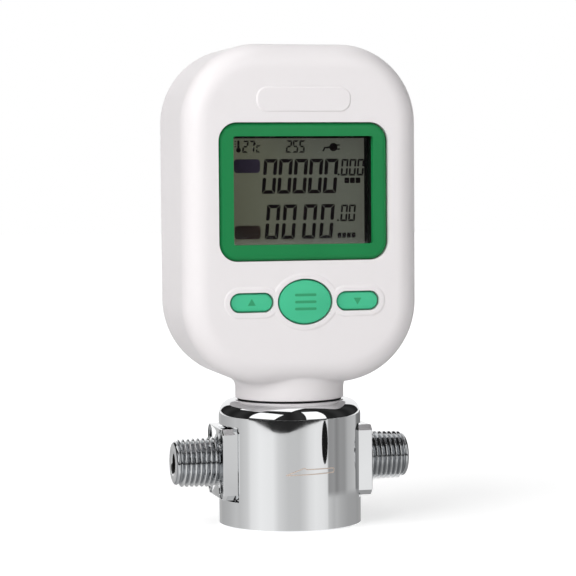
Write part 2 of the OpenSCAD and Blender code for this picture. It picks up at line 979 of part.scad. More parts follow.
// Dark frame that holds the glass and its light against the board
module lcd_frame() {
    color("#1d1f20")
        translate([0, 0, window_z])
            difference() {
                plate_y(round_rect(frame_w, frame_h, window_r), lip_back, board_y);
                plate_y(round_rect(window_w + frame_mouth, window_h + frame_mouth, window_r),
                    lip_back - cut, glass_y + cut);
                plate_y(round_rect(glass_w + 2 * frame_room_gap, glass_h + 2 * frame_room_gap, window_r),
                    glass_y, board_y + cut);
            }
}

// Display glass
module lcd_glass() {
    color("#6f7060")
        translate([0, 0, window_z])
            plate_y(round_rect(glass_w, glass_h, window_r), glass_y, glass_y + glass_t);
}

// Light panel between the glass and the board, flush with the glass at the top
module lcd_backlight() {
    color("#e9efe0")
        translate([0, 0, window_z + (glass_h - light_h) / 2])
            plate_y(round_rect(light_w, light_h, window_r), glass_y + glass_t, board_y);
}

// Row of pins that joins the lower edge of the glass to the board
module lcd_pins() {
    color(steel)
        for (i = [0 : pin_count - 1])
            translate([(i - (pin_count - 1) / 2) * pin_pitch - pin_side / 2, glass_y + glass_t,
                window_z - glass_h / 2 + pin_up])
                cube([pin_side, light_t, pin_side]);
}

// Outline of the main board, with a narrow tab at its lower end
function board_outline() = [
    [board_w / 2, head_top - board_top_down],
    [-board_w / 2, head_top - board_top_down],
    [-board_w / 2, head_z + board_shoulder_up],
    [-board_tab_w / 2, head_z + board_shoulder_up],
    [-board_tab_w / 2, head_z + board_low_up],
    [board_tab_w / 2, head_z + board_low_up],
    [board_tab_w / 2, head_z + board_shoulder_up],
    [board_w / 2, head_z + board_shoulder_up]
];

// Main board of the head
module main_board() {
    color(board_green)
        difference() {
            plate_y(board_outline(), board_y, board_back);
            at_board_posts()
                bar_y(board_screw_r + fit, board_y - cut, board_back + cut);
        }
}

// Four small screws of the main board
module board_screws() {
    color(steel)
        at_board_posts()
            translate([0, board_back - board_screw_len, 0])
                rotate([-90, 0, 0])
                    socket_screw(board_screw_r, board_screw_len, board_head_r, board_head_h,
                        board_screw_r, board_head_h / 2);
}

// Chips on the back of the board
module board_chips() {
    color(chip_black)
        for (s = chip_shares)
            translate([(s[0] - s[2] / 2) * board_w, board_back, head_z + board_shoulder_up + s[1] * board_w])
                cube([s[2] * board_w, chip_t, s[3] * board_w]);
}

// Places children at one key: -1 is the left arrow, 0 the menu key, 1 the right arrow
module at_key(side) {
    translate([side * arrow_x, 0, head_z + keys_up])
        children();
}

// Bodies of the three push switches on the board
module key_switches() {
    color(chip_black)
        for (side = [-1, 0, 1])
            at_key(side)
                difference() {
                    block([-switch_side / 2, board_y - switch_h, -switch_side / 2],
                        [switch_side / 2, board_y, switch_side / 2]);
                    bar_y(plunger_r + run_gap, board_y - switch_h - cut, board_y - switch_h + plunger_well);
                }
}

// Sliding plunger of a push switch
module plunger(side) {
    color("#d8d4c6")
        at_key(side)
            bar_y(plunger_r, board_y - switch_h - plunger_out, board_y - switch_h + plunger_in);
}

// Retaining flange and stem behind a key, with the key's outline
module key_back(points) {
    flange_y = front_in + key_back_gap;
    plate_y(points, flange_y, flange_y + key_flange_t);
    bar_y(stem_r, flange_y, board_y - switch_h - plunger_out);
}

// Oval key with a low dome and three plain bars as its mark
module menu_button() {
    top = -head_front - menu_proud;
    color(key_green)
        at_key(0)
            difference() {
                union() {
                    intersection() {
                        plate_y(oval(menu_w / 2, menu_h / 2), top, front_in + key_back_gap + key_flange_t);
                        translate([0, top + menu_dome_r, 0])
                            sphere(menu_dome_r, $fn = 256);
                    }
                    key_back(oval(menu_w / 2 + key_flange, menu_h / 2 + key_flange));
                }
                for (i = [-1, 0, 1])
                    block([-bar_w / 2, top - cut, i * bar_pitch - bar_h / 2],
                        [bar_w / 2, top + 2 * mark_depth, i * bar_pitch + bar_h / 2]);
            }
}

// Pill shaped key with a triangle as its mark, pointing up or down
module arrow_button(side, turn) {
    top = -head_front + arrow_drop;
    color(key_green)
        at_key(side)
            difference() {
                union() {
                    plate_y(pill(0), top, front_in + key_back_gap + key_flange_t);
                    key_back(pill(key_flange));
                }
                translate([0, top + mark_depth, 0])
                    rotate([90, turn, 0])
                        cylinder(r = arrow_mark_r, h = mark_depth + cut, $fn = 3);
            }
}

module menu_plunger() {
    plunger(0);
}

module up_button() {
    arrow_button(-1, -90);
}

module up_plunger() {
    plunger(-1);
}

module down_button() {
    arrow_button(1, 90);
}

module down_plunger() {
    plunger(1);
}

// Plug of the sensor cable, in its header on the back of the board
module cable_plug() {
    color("#e8e2d0")
        block([-plug_w / 2, board_back, head_z + plug_up],
            [plug_w / 2, cable_r + root, head_z + plug_up + plug_h]);
}

// Sensor cable on the swivel axis, from the socket in the body to the plug in the head
module sensor_cable() {
    color("#4a4d52")
        translate([0, 0, socket_z - fit])
            cylinder(r = cable_r, h = head_z + plug_up - socket_z + fit);
}

// Open tray that holds the cells behind the board
module battery_holder() {
    color("#33363a") {
        block([-tray_w / 2, tray_y, bay_z - room_h / 2 - tray_end_wall],
            [tray_w / 2, tray_y + tray_floor, bay_z + room_h / 2 + tray_end_wall]);
        for (side = [0, 1])
            mirror([side, 0, 0])
                block([tray_in_w / 2, tray_y, bay_z - room_h / 2 - tray_end_wall],
                    [tray_w / 2, back_in - tray_side_drop, bay_z + room_h / 2 + tray_end_wall]);
        for (end = [-1, 1])
            translate([0, 0, bay_z + end * (room_h + tray_end_wall) / 2])
                block([-tray_end_w / 2, tray_y, -tray_end_wall / 2],
                    [tray_end_w / 2, back_in, tray_end_wall / 2]);
        for (k = [1 : cell_count - 1])
            translate([0, 0, bay_z - bay_h / 2 + k * cell_pitch])
                block([-tray_end_w / 2, tray_y, -cradle_w / 2],
                    [tray_end_w / 2, tray_y + tray_floor + cradle_h, cradle_w / 2]);
    }
}

// Places children at a cell, with its button towards +X or -X by turns
module at_cells() {
    for (k = [0 : cell_count - 1])
        translate([0, cell_y, bay_z + (k - (cell_count - 1) / 2) * cell_pitch])
            mirror([k % 2, 0, 0])
                children();
}

// Cells, turned end for end by turns
module battery_cells() {
    color("#3d4a5c")
        at_cells() {
            bar_x(cell_d / 2, button_end_x - cell_len, button_end_x - cell_button_h);
            bar_x(cell_button_r, button_end_x - cell_button_h - root, button_end_x);
        }
}

// Flat contacts at both ends of every cell
module contact_plates() {
    color(steel)
        at_cells()
            for (x = [-tray_in_w / 2, tray_in_w / 2 - contact_t])
                translate([x, -contact_side / 2, -contact_side / 2])
                    cube([contact_t, contact_side, contact_side]);
}

// Tapered envelope of each coiled contact at the flat end of a cell
module contact_springs() {
    color(steel)
        at_cells()
            translate([contact_t - tray_in_w / 2, 0, 0])
                rotate([0, 90, 0])
                    cylinder(r1 = spring_big_r, r2 = spring_small_r, h = spring_len);
}

// Two leads between the board and the tray
module battery_leads() {
    color("#b8322c")
        for (sx = [-1, 1])
            translate([sx * lead_x, 0, bay_z - room_h / 2 + lead_x])
                bar_y(lead_r, board_back, tray_y);
}

// Barrel jack in the back wall, with a pin in its mouth
module power_jack() {
    front = head_back - jack_recess;
    color(chip_black)
        translate([jack_x, 0, jack_z]) {
            difference() {
                union() {
                    bar_y(jack_flange_r, front, front + jack_flange_t);
                    bar_y(jack_r, front - jack_len, front + root);
                }
                bar_y(jack_hole_r, front + jack_flange_t - jack_hole_len, front + jack_flange_t + cut);
            }
            bar_y(jack_pin_r, front - jack_hole_len - root, front);
            for (sx = [-1, 1])
                translate([sx * jack_lug_x, front - jack_len - jack_lug_len / 2 + root / 2, 0])
                    cube([jack_lug_t, jack_lug_len + root, jack_lug_w], center = true);
        }
}

// Six sided nut that clamps the jack from inside
module jack_nut() {
    color(steel)
        translate([jack_x, back_in - jack_nut_t, jack_z])
            rotate([-90, 0, 0])
                difference() {
                    cylinder(r = jack_nut_r, h = jack_nut_t, $fn = 6);
                    translate([0, 0, -cut])
                        cylinder(r = jack_r + fit, h = jack_nut_t + 2 * cut);
                }
}

// Two leads between the jack's lugs and the board
module jack_leads() {
    lug_end = head_back - jack_recess - jack_len - jack_lug_len;
    color("#b8322c")
        for (sx = [-1, 1])
            translate([jack_x + sx * jack_lug_x, 0, jack_z])
                bar_y(lead_r, board_back, lug_end);
}

// Door of the battery bay, turning on two pins at its upper edge
module battery_door() {
    color(shell_white)
        translate([0, door_axis_y, door_axis_z])
            rotate([door_open, 0, 0])
                difference() {
                    union() {
                        block([-door_w / 2, -door_wall / 2, door_wall / 2 - door_h],
                            [door_w / 2, door_wall / 2, 0]);
                        bar_x(door_wall / 2, -door_w / 2, door_w / 2);
                        bar_x(door_pin_r, -door_w / 2 - door_pin_len, door_w / 2 + door_pin_len);
                    }
                    for (i = [0 : grip_ribs - 1])
                        translate([0, door_wall / 2, door_wall / 2 - door_h + grip_up + i * grip_pitch])
                            bar_x(grip_depth, -grip_w / 2, grip_w / 2);
                }
}

flow_body();
inlet_fitting();
outlet_fitting();
fitting_seals();
flange_screws();
flow_screens();
screen_spacers();
sensor_carrier();
sensor_seal();
sensor_blade();
sensor_board();
sensor_socket();
swivel_spigot();
spigot_screws();
neck_seal();
swivel_nut();
front_shell();
back_shell();
shell_gasket();
shell_screws();
display_bezel();
window_lens();
lcd_frame();
lcd_glass();
lcd_backlight();
lcd_pins();
main_board();
board_screws();
board_chips();
key_switches();
cable_plug();
sensor_cable();
battery_holder();
battery_cells();
contact_plates();
contact_springs();
battery_leads();
power_jack();
jack_nut();
jack_leads();
menu_button();
menu_plunger();
up_button();
up_plunger();
down_button();
down_plunger();
battery_door();
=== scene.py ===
"""Looks of a battery powered gas flow meter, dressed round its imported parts.

Everything is in metres in the parts' own frame: the origin is the centre of the base, the gas flows
along X, the display faces -Y and Z points up. Sizes are written in millimetres and turned to metres
by MM.
"""

import math

import bmesh
import bpy
import numpy as np
from bpy.props import FloatProperty, PointerProperty, StringProperty
from mathutils import Matrix, Vector


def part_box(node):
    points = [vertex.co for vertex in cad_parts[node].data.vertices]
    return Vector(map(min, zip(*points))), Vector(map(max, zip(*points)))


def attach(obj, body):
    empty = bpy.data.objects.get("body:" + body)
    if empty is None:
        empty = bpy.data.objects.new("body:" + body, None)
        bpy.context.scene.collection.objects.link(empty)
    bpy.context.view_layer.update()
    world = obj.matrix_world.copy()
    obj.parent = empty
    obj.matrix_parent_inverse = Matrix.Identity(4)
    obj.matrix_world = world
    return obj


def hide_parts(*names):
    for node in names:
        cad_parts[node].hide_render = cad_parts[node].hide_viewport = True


bl_info = {
    "name": "Gas flow meter looks",
    "version": (1, 0, 0),
    "blender": (4, 5, 0),
    "location": "3D View > Sidebar > Flow Meter",
    "description": "Builds the visible surfaces and the studio of a gas flow meter",
    "category": "Object",
}

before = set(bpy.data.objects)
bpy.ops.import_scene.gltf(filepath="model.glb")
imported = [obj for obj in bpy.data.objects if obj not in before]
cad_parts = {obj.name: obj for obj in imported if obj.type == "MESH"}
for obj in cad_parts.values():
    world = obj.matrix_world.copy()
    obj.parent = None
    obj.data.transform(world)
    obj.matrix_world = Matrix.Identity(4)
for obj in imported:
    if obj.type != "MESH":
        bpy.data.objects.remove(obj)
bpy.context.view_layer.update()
MM = 0.001


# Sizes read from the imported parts, in metres

def low(node):
    """Lowest corner of a part."""
    return np.array(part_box(node)[0])


def high(node):
    """Highest corner of a part."""
    return np.array(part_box(node)[1])


def middle(node):
    """Centre of a part's box."""
    return (low(node) + high(node)) / 2


HEAD_TOP = float(high("front_shell")[2])
NECK_Z = float(low("front_shell")[2])
SEAM_Y = float(low("back_shell")[1])
BACK_Y = float(high("back_shell")[1])
KEYS_Z = float(middle("menu_button")[2])
ARROW_X = float(middle("down_button")[0])
BODY_TOP = float(high("flow_body")[2])
BODY_R = float(high("flow_body")[0])
PORT_Z = float(middle("inlet_fitting")[2])
TIP_X = float(high("inlet_fitting")[0])

# Sizes that more than one piece shares
NECK_BORE = 12.36 * MM  # radius
SHELL_BREAK = 0.18 * MM  # rounding of the cut edges of the moulded pieces
THREAD_LENGTH = 12.1 * MM  # from a nipple's tip
THREAD_LAND = 1.15 * MM  # plain length at the tip
NIPPLE_LENGTH = 19 * MM  # with its end inside the body
TAPER = 32  # length along the thread over which its radius grows by 1
SCREW_SINK = 3.15 * MM  # depth of a flange screw's head in its flange
BROKEN_EDGE = 50  # least turn between two faces whose edge is rounded, in degrees


# Sizes and colours that the panel shows

def length(name, about, value):
    """A length in the panel, in metres."""
    return FloatProperty(name=name, description=about, default=value, unit="LENGTH")


def angle(name, about, degrees):
    """An angle in the panel."""
    return FloatProperty(name=name, description=about, default=math.radians(degrees), subtype="ANGLE")


def shade(name, about, colour):
    """A colour in the panel, as sRGB hex."""
    return StringProperty(name=name, description=about, default=colour)


class MeterHead(bpy.types.PropertyGroup):
    """Sizes of the display head."""

    width: length("Width", "Width of the head", float(high("front_shell")[0] * 2))
    underside: length("Underside", "Height of the head's flat underside above the base", 40.3 * MM)
    front: length("Front", "Distance of the front face from the swivel axis", 18.2 * MM)
    top_radius: length("Top corners", "Radius of the two upper corners", 21.5 * MM)
    low_radius: length("Lower corners", "Radius of the two lower corners", 22.5 * MM)
    front_edge: length("Front edge", "Radius of the rounded front edge", 6.8 * MM)
    back_edge: length("Back edge", "Radius of the rounded back edge", 5.5 * MM)
    wall: length("Wall", "Wall of the two shells", 2.2 * MM)
    neck_radius: length("Neck", "Radius of the neck", 15.25 * MM)
    pad_height: length("Key pad height", "Height of the raised pad round the keys", 0.25 * MM)
    plaque_drop: length("Plaque drop", "Distance of the bare plaque's middle below the head's top",
                        15.25 * MM)


class MeterDisplay(bpy.types.PropertyGroup):
    """Sizes of the bezel, the window and the symbols."""

    bezel_width: length("Bezel width", "Width of the green bezel", 47.5 * MM)
    bezel_height: length("Bezel height", "Height of the green bezel", 37.5 * MM)
    bezel_radius: length("Bezel corners", "Radius of the bezel's outer corners", 5.0 * MM)
    window_width: length("Window width", "Width of the opening in the bezel", 39.3 * MM)
    window_height: length("Window height", "Height of the opening in the bezel", 29.5 * MM)
    slant: angle("Digit slant", "Lean of the digits", 4.9)


class MeterKeys(bpy.types.PropertyGroup):
    """Sizes of the three keys."""

    menu_width: length("Menu key width", "Width of the oval key", 14.8 * MM)
    menu_height: length("Menu key height", "Height of the oval key", 11.9 * MM)
    arrow_width: length("Arrow key length", "Length of a pill shaped key", 11.6 * MM)
    arrow_height: length("Arrow key height", "Height of a pill shaped key", 4.7 * MM)
    gap: length("Gap", "Gap round a key", 0.38 * MM)


class MeterBody(bpy.types.PropertyGroup):
    """Sizes of the plated body and its fittings."""

    shoulder: length("Shoulder", "Radius of the body's shoulder", 4.4 * MM)
    seat: length("Seat", "Distance of a flange seat from the axis", BODY_R - 3.6 * MM)
    seat_side: length("Seat side", "Side of a flange's pocket", 20.8 * MM)
    flange_side: length("Flange side", "Side of a flange", 19.8 * MM)
    flange_thick: length("Flange thickness", "Thickness of a flange", 4.9 * MM)
    flange_chamfer: length("Flange chamfer", "Chamfer of a flange's corners", 1.5 * MM)
    thread_radius: length("Thread radius", "Crest radius at the nipple's tip", 6.625 * MM)
    thread_pitch: length("Thread pitch", "Pitch of the pipe thread", 1.411 * MM)
    thread_depth: length("Thread depth", "Depth of the pipe thread", 1.0 * MM)
    bore_radius: length("Bore", "Radius of the gas bore", 2.75 * MM)


class MeterColours(bpy.types.PropertyGroup):
    """Colours of the finishes, as sRGB hex."""

    shell: shade("Shell", "White moulded shells", "#E8E4E5")
    bezel: shade("Bezel", "Green bezel, in its darker patches", "#0C7A41")
    bezel_light: shade("Bezel, lighter", "Green bezel, in its lighter patches", "#128548")
    key: shade("Keys", "Mint green keys", "#40BF8F")
    mark: shade("Key marks", "Marks on the keys", "#2C9A69")
    display_left: shade("Display, left", "Display at its warmer left end", "#504F41")
    display_right: shade("Display, right", "Display right of its middle", "#55574D")
    ink: shade("Segments", "Segments, in their violet patches", "#14101A")
    ink_brown: shade("Segments, brown", "Segments, in their brown patches", "#1F1512")
    plate: shade("Plating", "Bright nickel plate", "#E6E7E8")
    # Painted shade: the darker colour down in the thread's grooves stands in for the shade there
    groove: shade("Thread grooves", "Thinner plating down in the thread", "#A0A3A6")
    backdrop: shade("Backdrop", "Floor and backdrop", "#ECECEC")


class MeterStage(bpy.types.PropertyGroup):
    """Place of the camera."""

    turn: angle("Turn", "Angle of the camera to the left of the display's axis", 14.462)
    pitch: angle("Pitch", "Height angle of the camera", 2.999)
    roll: angle("Roll", "Tilt of the picture", -0.43)
    distance: length("Distance", "Distance of the camera", 609.07 * MM)
    aim_height: length("Aim height", "Height of the point in the picture's middle", 65.97 * MM)
    aim_side: length("Aim side", "Sideways place of that point", -0.13 * MM)
    lens: FloatProperty(
        name="Lens", description="Focal length of the camera", default=135.4, unit="CAMERA")


GROUPS = {
    "meter_head": MeterHead,
    "meter_display": MeterDisplay,
    "meter_keys": MeterKeys,
    "meter_body": MeterBody,
    "meter_colours": MeterColours,
    "meter_stage": MeterStage,
}


def group(name):
    """The sizes or colours of one group, as the panel has them."""
    return getattr(bpy.context.scene, "meter_" + name)


# Colours and materials

def srgb(colour):
    """Linear RGBA of an sRGB hex colour: c/12.92 below 0.04045, else ((c + 0.055)/1.055)^2.4."""
    parts = [int(colour[i:i + 2], 16) / 255 for i in (1, 3, 5)]
    return [c / 12.92 if c <= 0.04045 else ((c + 0.055) / 1.055) ** 2.4 for c in parts] + [1.0]


def add_node(tree, kind, settings=None, inputs=None):
    """Adds a node, sets its properties, and sets or links its inputs."""
    node = tree.nodes.new(kind)
    for key, value in (settings or {}).items():
        setattr(node, key, value)
    for key, value in (inputs or {}).items():
        if isinstance(value, bpy.types.NodeSocket):
            tree.links.new(value, node.inputs[key])
        else:
            node.inputs[key].default_value = value
    return node


def bare_tree(owner):
    """The emptied node tree of a material or a world."""
    owner.use_nodes = True
    owner.node_tree.nodes.clear()
    return owner.node_tree


def surface(name, colour, roughness, metallic=0.0, **sockets):
    """A material with only its shader and output, as (material, tree, shader)."""
    material = bpy.data.materials.new(name)
    tree = bare_tree(material)
    shader = add_node(tree, "ShaderNodeBsdfPrincipled", {}, {
        "Base Color": srgb(colour), "Roughness": roughness, "Metallic": metallic})
    for key, value in sockets.items():
        shader.inputs[key.replace("_", " ")].default_value = value
    add_node(tree, "ShaderNodeOutputMaterial", {}, {"Surface": shader.outputs[0]})
    material.diffuse_color = srgb(colour)
    return material, tree, shader


def place(tree, scale=(1, 1, 1)):
    """Object coordinates, stretched by a scale."""
    where = add_node(tree, "ShaderNodeTexCoord")
    return add_node(tree, "ShaderNodeMapping", {}, {
        "Vector": where.outputs["Object"], "Scale": scale}).outputs[0]


def grain(tree, shader, size, height, detail=3.0, scale=(1, 1, 1)):
    """Bumps of a grain size and a height, both in metres."""
    rough = add_node(tree, "ShaderNodeTexNoise", {}, {
        "Vector": place(tree, scale), "Scale": 1 / size, "Detail": detail})
    bump = add_node(tree, "ShaderNodeBump", {}, {
        "Height": rough.outputs[0], "Distance": height, "Strength": 1.0})
    tree.links.new(bump.outputs[0], shader.inputs["Normal"])


def mottle(tree, shader, socket, size, dark, light, scale=(1, 1, 1)):
    """Lets a value or colour wander between two limits over patches of a size in metres."""
    wander = add_node(tree, "ShaderNodeTexNoise", {}, {
        "Vector": place(tree, scale), "Scale": 1 / size, "Detail": 4.0}).outputs[0]
    if isinstance(dark, str):
        mix = add_node(tree, "ShaderNodeMix", {"data_type": "RGBA"}, {
            0: wander, 6: srgb(dark), 7: srgb(light)}).outputs[2]
    else:
        mix = add_node(tree, "ShaderNodeMapRange", {}, {
            0: wander, 1: 0.3, 2: 0.7, 3: dark, 4: light}).outputs[0]
    tree.links.new(mix, shader.inputs[socket])


def finish(name, colour, roughness, metallic=0.0, tints=(), dull=(), bumps=(), **sockets):
    """A finished material: its colour wanders by tints, its roughness by dull, and bumps are its grain."""
    material, tree, shader = surface(name, colour, roughness, metallic, **sockets)
    if tints:
        mottle(tree, shader, "Base Color", *tints)
    if dull:
        mottle(tree, shader, "Roughness", *dull)
    if bumps:
        grain(tree, shader, *bumps)
    return material


def white_abs():
    """ABS moulded in a spark eroded tool: satin, with a fine grain that spreads the highlights."""
    # The real grain is 0.15 mm; it is drawn at 0.3 mm so that it shows as a slight softness
    return finish("white_abs_spark_grain", group("colours").shell, 0.42, IOR=1.53,
                  dull=(9 * MM, 0.38, 0.46), bumps=(0.3 * MM, 0.004 * MM))


def green_abs():
    """Dyed ABS with a satin face: a soft sheen and a slight waviness from cooling."""
    c = group("colours")
    return finish("green_abs_satin", c.bezel, 0.36, IOR=1.53, Specular_IOR_Level=0.26,
                  tints=(14 * MM, c.bezel, c.bezel_light), bumps=(0.35 * MM, 0.004 * MM))


def mint_silicone():
    """Pigmented silicone rubber keys with a coated face: dense colour, soft wide highlights."""
    return finish("mint_silicone_coated", group("colours").key, 0.4, IOR=1.43, Subsurface_Weight=0.08,
                  Subsurface_Radius=(0.3 * MM, 0.6 * MM, 0.4 * MM),
                  dull=(3 * MM, 0.36, 0.45), bumps=(0.4 * MM, 0.003 * MM))


def mark_ink():
    """Darker green of the marks moulded in the keys."""
    return finish("mint_silicone_mark", group("colours").mark, 0.45, IOR=1.43,
                  dull=(2 * MM, 0.42, 0.5))


def nickel_plate():
    """Bright nickel over polished brass: mirror-like, with faint polishing lines and haze."""
    # Polishing waves are some 3 mm long and less than two microns high
    return finish("bright_nickel_plate", group("colours").plate, 0.03, 1.0,
                  dull=(5 * MM, 0.02, 0.045, (1, 1, 0.4)), bumps=(3 * MM, 0.0016 * MM, 2.0, (1, 1, 0.6)))


def plated_thread():
    """Nickel on a cut pipe thread: bright on the crests, and darker down in the grooves as painted shade.

    The depth is the crest's radius at the distance |x| along the taper, less the distance from the
    axis. The painted shade comes in from a quarter of the thread's depth and goes out again on the end face.
    """
    material, tree, shader = surface("nickel_thread_painted_groove_shade", group("colours").plate, 0.06, 1.0)
    g = group("body")
    along = add_node(tree, "ShaderNodeSeparateXYZ", {}, {"Vector": place(tree)})
    along = add_node(tree, "ShaderNodeMath", {"operation": "ABSOLUTE"}, {0: along.outputs["X"]})
    crest = add_node(tree, "ShaderNodeMath", {"operation": "MULTIPLY_ADD"}, {
        0: along.outputs[0], 1: -1 / TAPER, 2: g.thread_radius + TIP_X / TAPER})
    across = add_node(tree, "ShaderNodeVectorMath", {"operation": "SUBTRACT"}, {
        0: place(tree, (0, 1, 1)), 1: (0, 0, PORT_Z)})
    across = add_node(tree, "ShaderNodeVectorMath", {"operation": "LENGTH"}, {0: across.outputs[0]})
    depth = add_node(tree, "ShaderNodeMath", {"operation": "SUBTRACT"}, {
        0: crest.outputs[0], 1: across.outputs["Value"]})
    # Painted shade: darkens the colour from a quarter of the thread's depth down into the grooves
    groove = add_node(tree, "ShaderNodeMapRange", {}, {
        0: depth.outputs[0], 1: 0.25 * g.thread_depth, 2: 0.95 * g.thread_depth, 3: 0.0, 4: 1.0})
    face = add_node(tree, "ShaderNodeMapRange", {}, {
        0: depth.outputs[0], 1: 1.05 * g.thread_depth, 2: 1.2 * g.thread_depth, 3: 1.0, 4: 0.0})
    share = add_node(tree, "ShaderNodeMath", {"operation": "MULTIPLY"}, {
        0: groove.outputs[0], 1: face.outputs[0]})
    tint = add_node(tree, "ShaderNodeMix", {"data_type": "RGBA"}, {
        0: share.outputs[0], 6: srgb(group("colours").plate), 7: srgb(group("colours").groove)})
    tree.links.new(tint.outputs[2], shader.inputs["Base Color"])
    mottle(tree, shader, "Roughness", 1.5 * MM, 0.04, 0.12)
    return material


def dull_bore_painted_shade():
    """Wall of the drilled gas way: unplated inside and dull with tool marks; its dark colour is painted
    shade for the inside of the bore.
    """
    return finish("drilled_bore_painted_shade", "#3A3936", 0.5, 1.0,
                  dull=(1 * MM, 0.42, 0.6), bumps=(0.3 * MM, 0.006 * MM))


def arrow_paint():
    """Thin baked paint of the flow arrow: warm grey, dull."""
    return finish("baked_paint_warm_grey", "#C2B2A6", 0.5, IOR=1.5, dull=(1 * MM, 0.45, 0.6))


def turned_steel():
    """Stainless screws and turned parts: grey metal with fine tool marks."""
    return finish("stainless_steel_turned", "#A9ABAD", 0.24, 1.0,
                  dull=(0.6 * MM, 0.2, 0.32), bumps=(0.15 * MM, 0.002 * MM))


def spring_wire():
    """Nickelled spring wire and strip, a little duller than the screws."""
    return finish("spring_steel_nickelled", "#A3A39E", 0.3, 1.0, dull=(1 * MM, 0.25, 0.38))


def nitrile():
    """Nitrile rubber seals: near black, dull, with a bloom."""
    return finish("nitrile_rubber", "#1E1E20", 0.62, IOR=1.52,
                  dull=(1.5 * MM, 0.55, 0.72), bumps=(0.2 * MM, 0.003 * MM))


def clear_acrylic():
    """Cast acrylic window: clear, with a hard coat that keeps its reflections sharp."""
    material = finish("acrylic_hard_coated", "#F4F8F7", 0.03, IOR=1.49, Transmission_Weight=1.0,
                      dull=(10 * MM, 0.02, 0.045))
    material.diffuse_color = (0.9, 0.95, 0.95, 0.3)
    return material


def display_film():
    """Liquid crystal display under a polariser, grey green and warmer at its left, with a glow for a weak
    back light that is brighter at the left, as painted light that lifts the bezel's shadow there.
    """
    c = group("colours")
    material, tree, shader = surface("polariser_film_painted_glow", c.display_left, 0.34, IOR=1.5,
                                     Specular_IOR_Level=0.1, Emission_Strength=1.0)
    across = add_node(tree, "ShaderNodeSeparateXYZ", {}, {"Vector": place(tree)})
    half = float(high("lcd_glass")[0])
    share = add_node(tree, "ShaderNodeMapRange", {"interpolation_type": "SMOOTHSTEP"}, {
        0: across.outputs["X"], 1: -half, 2: half / 2, 3: 0.0, 4: 1.0})
    # The emission is a glow for a weak back light, brighter at the left as painted light that lifts the
    # bezel's shadow there
    for socket, warm, cool in (("Base Color", c.display_left, c.display_right),
                               ("Emission Color", "#4E4E41", "#484842")):
        tint = add_node(tree, "ShaderNodeMix", {"data_type": "RGBA"}, {
            0: share.outputs[0], 6: srgb(warm), 7: srgb(cool)})
        tree.links.new(tint.outputs[2], shader.inputs[socket])
    mottle(tree, shader, "Roughness", 4 * MM, 0.3, 0.4)
    return material


def crystal(name, dark, light):
    """Switched liquid crystal in optical contact with its glass, so that it has no gloss of its own."""
    return finish(name, dark, 0.5, IOR=1.5, Specular_IOR_Level=0.0, tints=(2 * MM, dark, light))


def segment_ink():
    """Crossed polarisers over a switched segment: almost black with a trace of violet and brown."""
    return crystal("liquid_crystal_dark", group("colours").ink, group("colours").ink_brown)


def violet_ink():
    """A large switched badge: dark violet."""
    return crystal("liquid_crystal_violet", "#473D51", "#4E4459")


def brown_ink():
    """A large switched badge nearer the display's edge: dark red brown."""
    return crystal("liquid_crystal_brown", "#433632", "#4B3C38")


def border_and_shade_ink():
    """Black border on the display glass, dull and even; its wider strips at the right and top are painted
    shade for the bezel's shadow.
    """
    return crystal("black_border_painted_shade", "#121211", "#191918")


def black_nylon():
    """Glass filled nylon: black, half matt, with a faint fibre texture."""
    return finish("black_nylon_moulded", "#17181A", 0.48, IOR=1.53,
                  dull=(2 * MM, 0.42, 0.56), bumps=(0.25 * MM, 0.004 * MM, 4.0, (1, 0.3, 1)))


def grey_acetal():
    """Machined acetal: dark grey, smooth, with fine turning marks."""
    return finish("grey_acetal_turned", "#565A5F", 0.38, IOR=1.48,
                  bumps=(0.2 * MM, 0.003 * MM, 2.0, (0.2, 0.2, 1)))


def solder_mask():
    """Green solder mask over a glass cloth board: glossy, with the weave just showing."""
    material, tree, shader = surface("solder_mask_green", "#1D5A38", 0.28, IOR=1.55)
    # The real threads are 0.6 mm apart; the bands are drawn 3.8 mm apart, so that they show
    weave = add_node(tree, "ShaderNodeTexWave", {"wave_type": "BANDS", "bands_direction": "DIAGONAL"}, {
        "Vector": place(tree), "Scale": 1 / (6 * MM), "Distortion": 1.0})
    mix = add_node(tree, "ShaderNodeMix", {"data_type": "RGBA"}, {
        0: weave.outputs[1], 6: srgb("#1A5233"), 7: srgb("#21643F")})
    tree.links.new(mix.outputs[2], shader.inputs["Base Color"])
    return material


def chip_compound():
    """Epoxy mould compound of chips: black, dull, finely grained."""
    return finish("epoxy_mould_compound", "#202124", 0.55, IOR=1.55, bumps=(0.12 * MM, 0.003 * MM))


def cream_nylon():
    """Unfilled nylon of plugs and plungers: cream, waxy."""
    return finish("cream_nylon", "#DDD6C2", 0.42, IOR=1.53, Subsurface_Weight=0.1,
                  Subsurface_Radius=(0.5 * MM, 0.4 * MM, 0.3 * MM), dull=(2 * MM, 0.38, 0.48))


def white_diffuser():
    """Opal acrylic of the light panel."""
    return finish("opal_acrylic", "#E9EDE2", 0.3, IOR=1.49, dull=(5 * MM, 0.26, 0.36))


def wire_sleeve():
    """Soft vinyl insulation of the leads."""
    return finish("vinyl_insulation_red", "#A82B25", 0.4, IOR=1.54, dull=(1 * MM, 0.35, 0.5))


def cable_jacket():
    """Grey vinyl jacket of the sensor cable."""
    return finish("vinyl_jacket_grey", "#4A4D52", 0.5, IOR=1.54, bumps=(0.3 * MM, 0.004 * MM))


def cell_sleeve():
    """Shrunk plastic sleeve of the cells: blue grey and smooth."""
    return finish("shrink_sleeve_blue_grey", "#34455C", 0.26, IOR=1.5,
                  tints=(12 * MM, "#304056", "#3A4D66"))


MATERIALS = {}


def material_for(maker):
    """The material made by a function, made once."""
    if maker not in MATERIALS:
        MATERIALS[maker] = maker()
    return MATERIALS[maker]


# Surfaces

def full_turn(steps):
    """Angles once round, without the last one."""
    return np.linspace(0, 2 * np.pi, steps, endpoint=False)


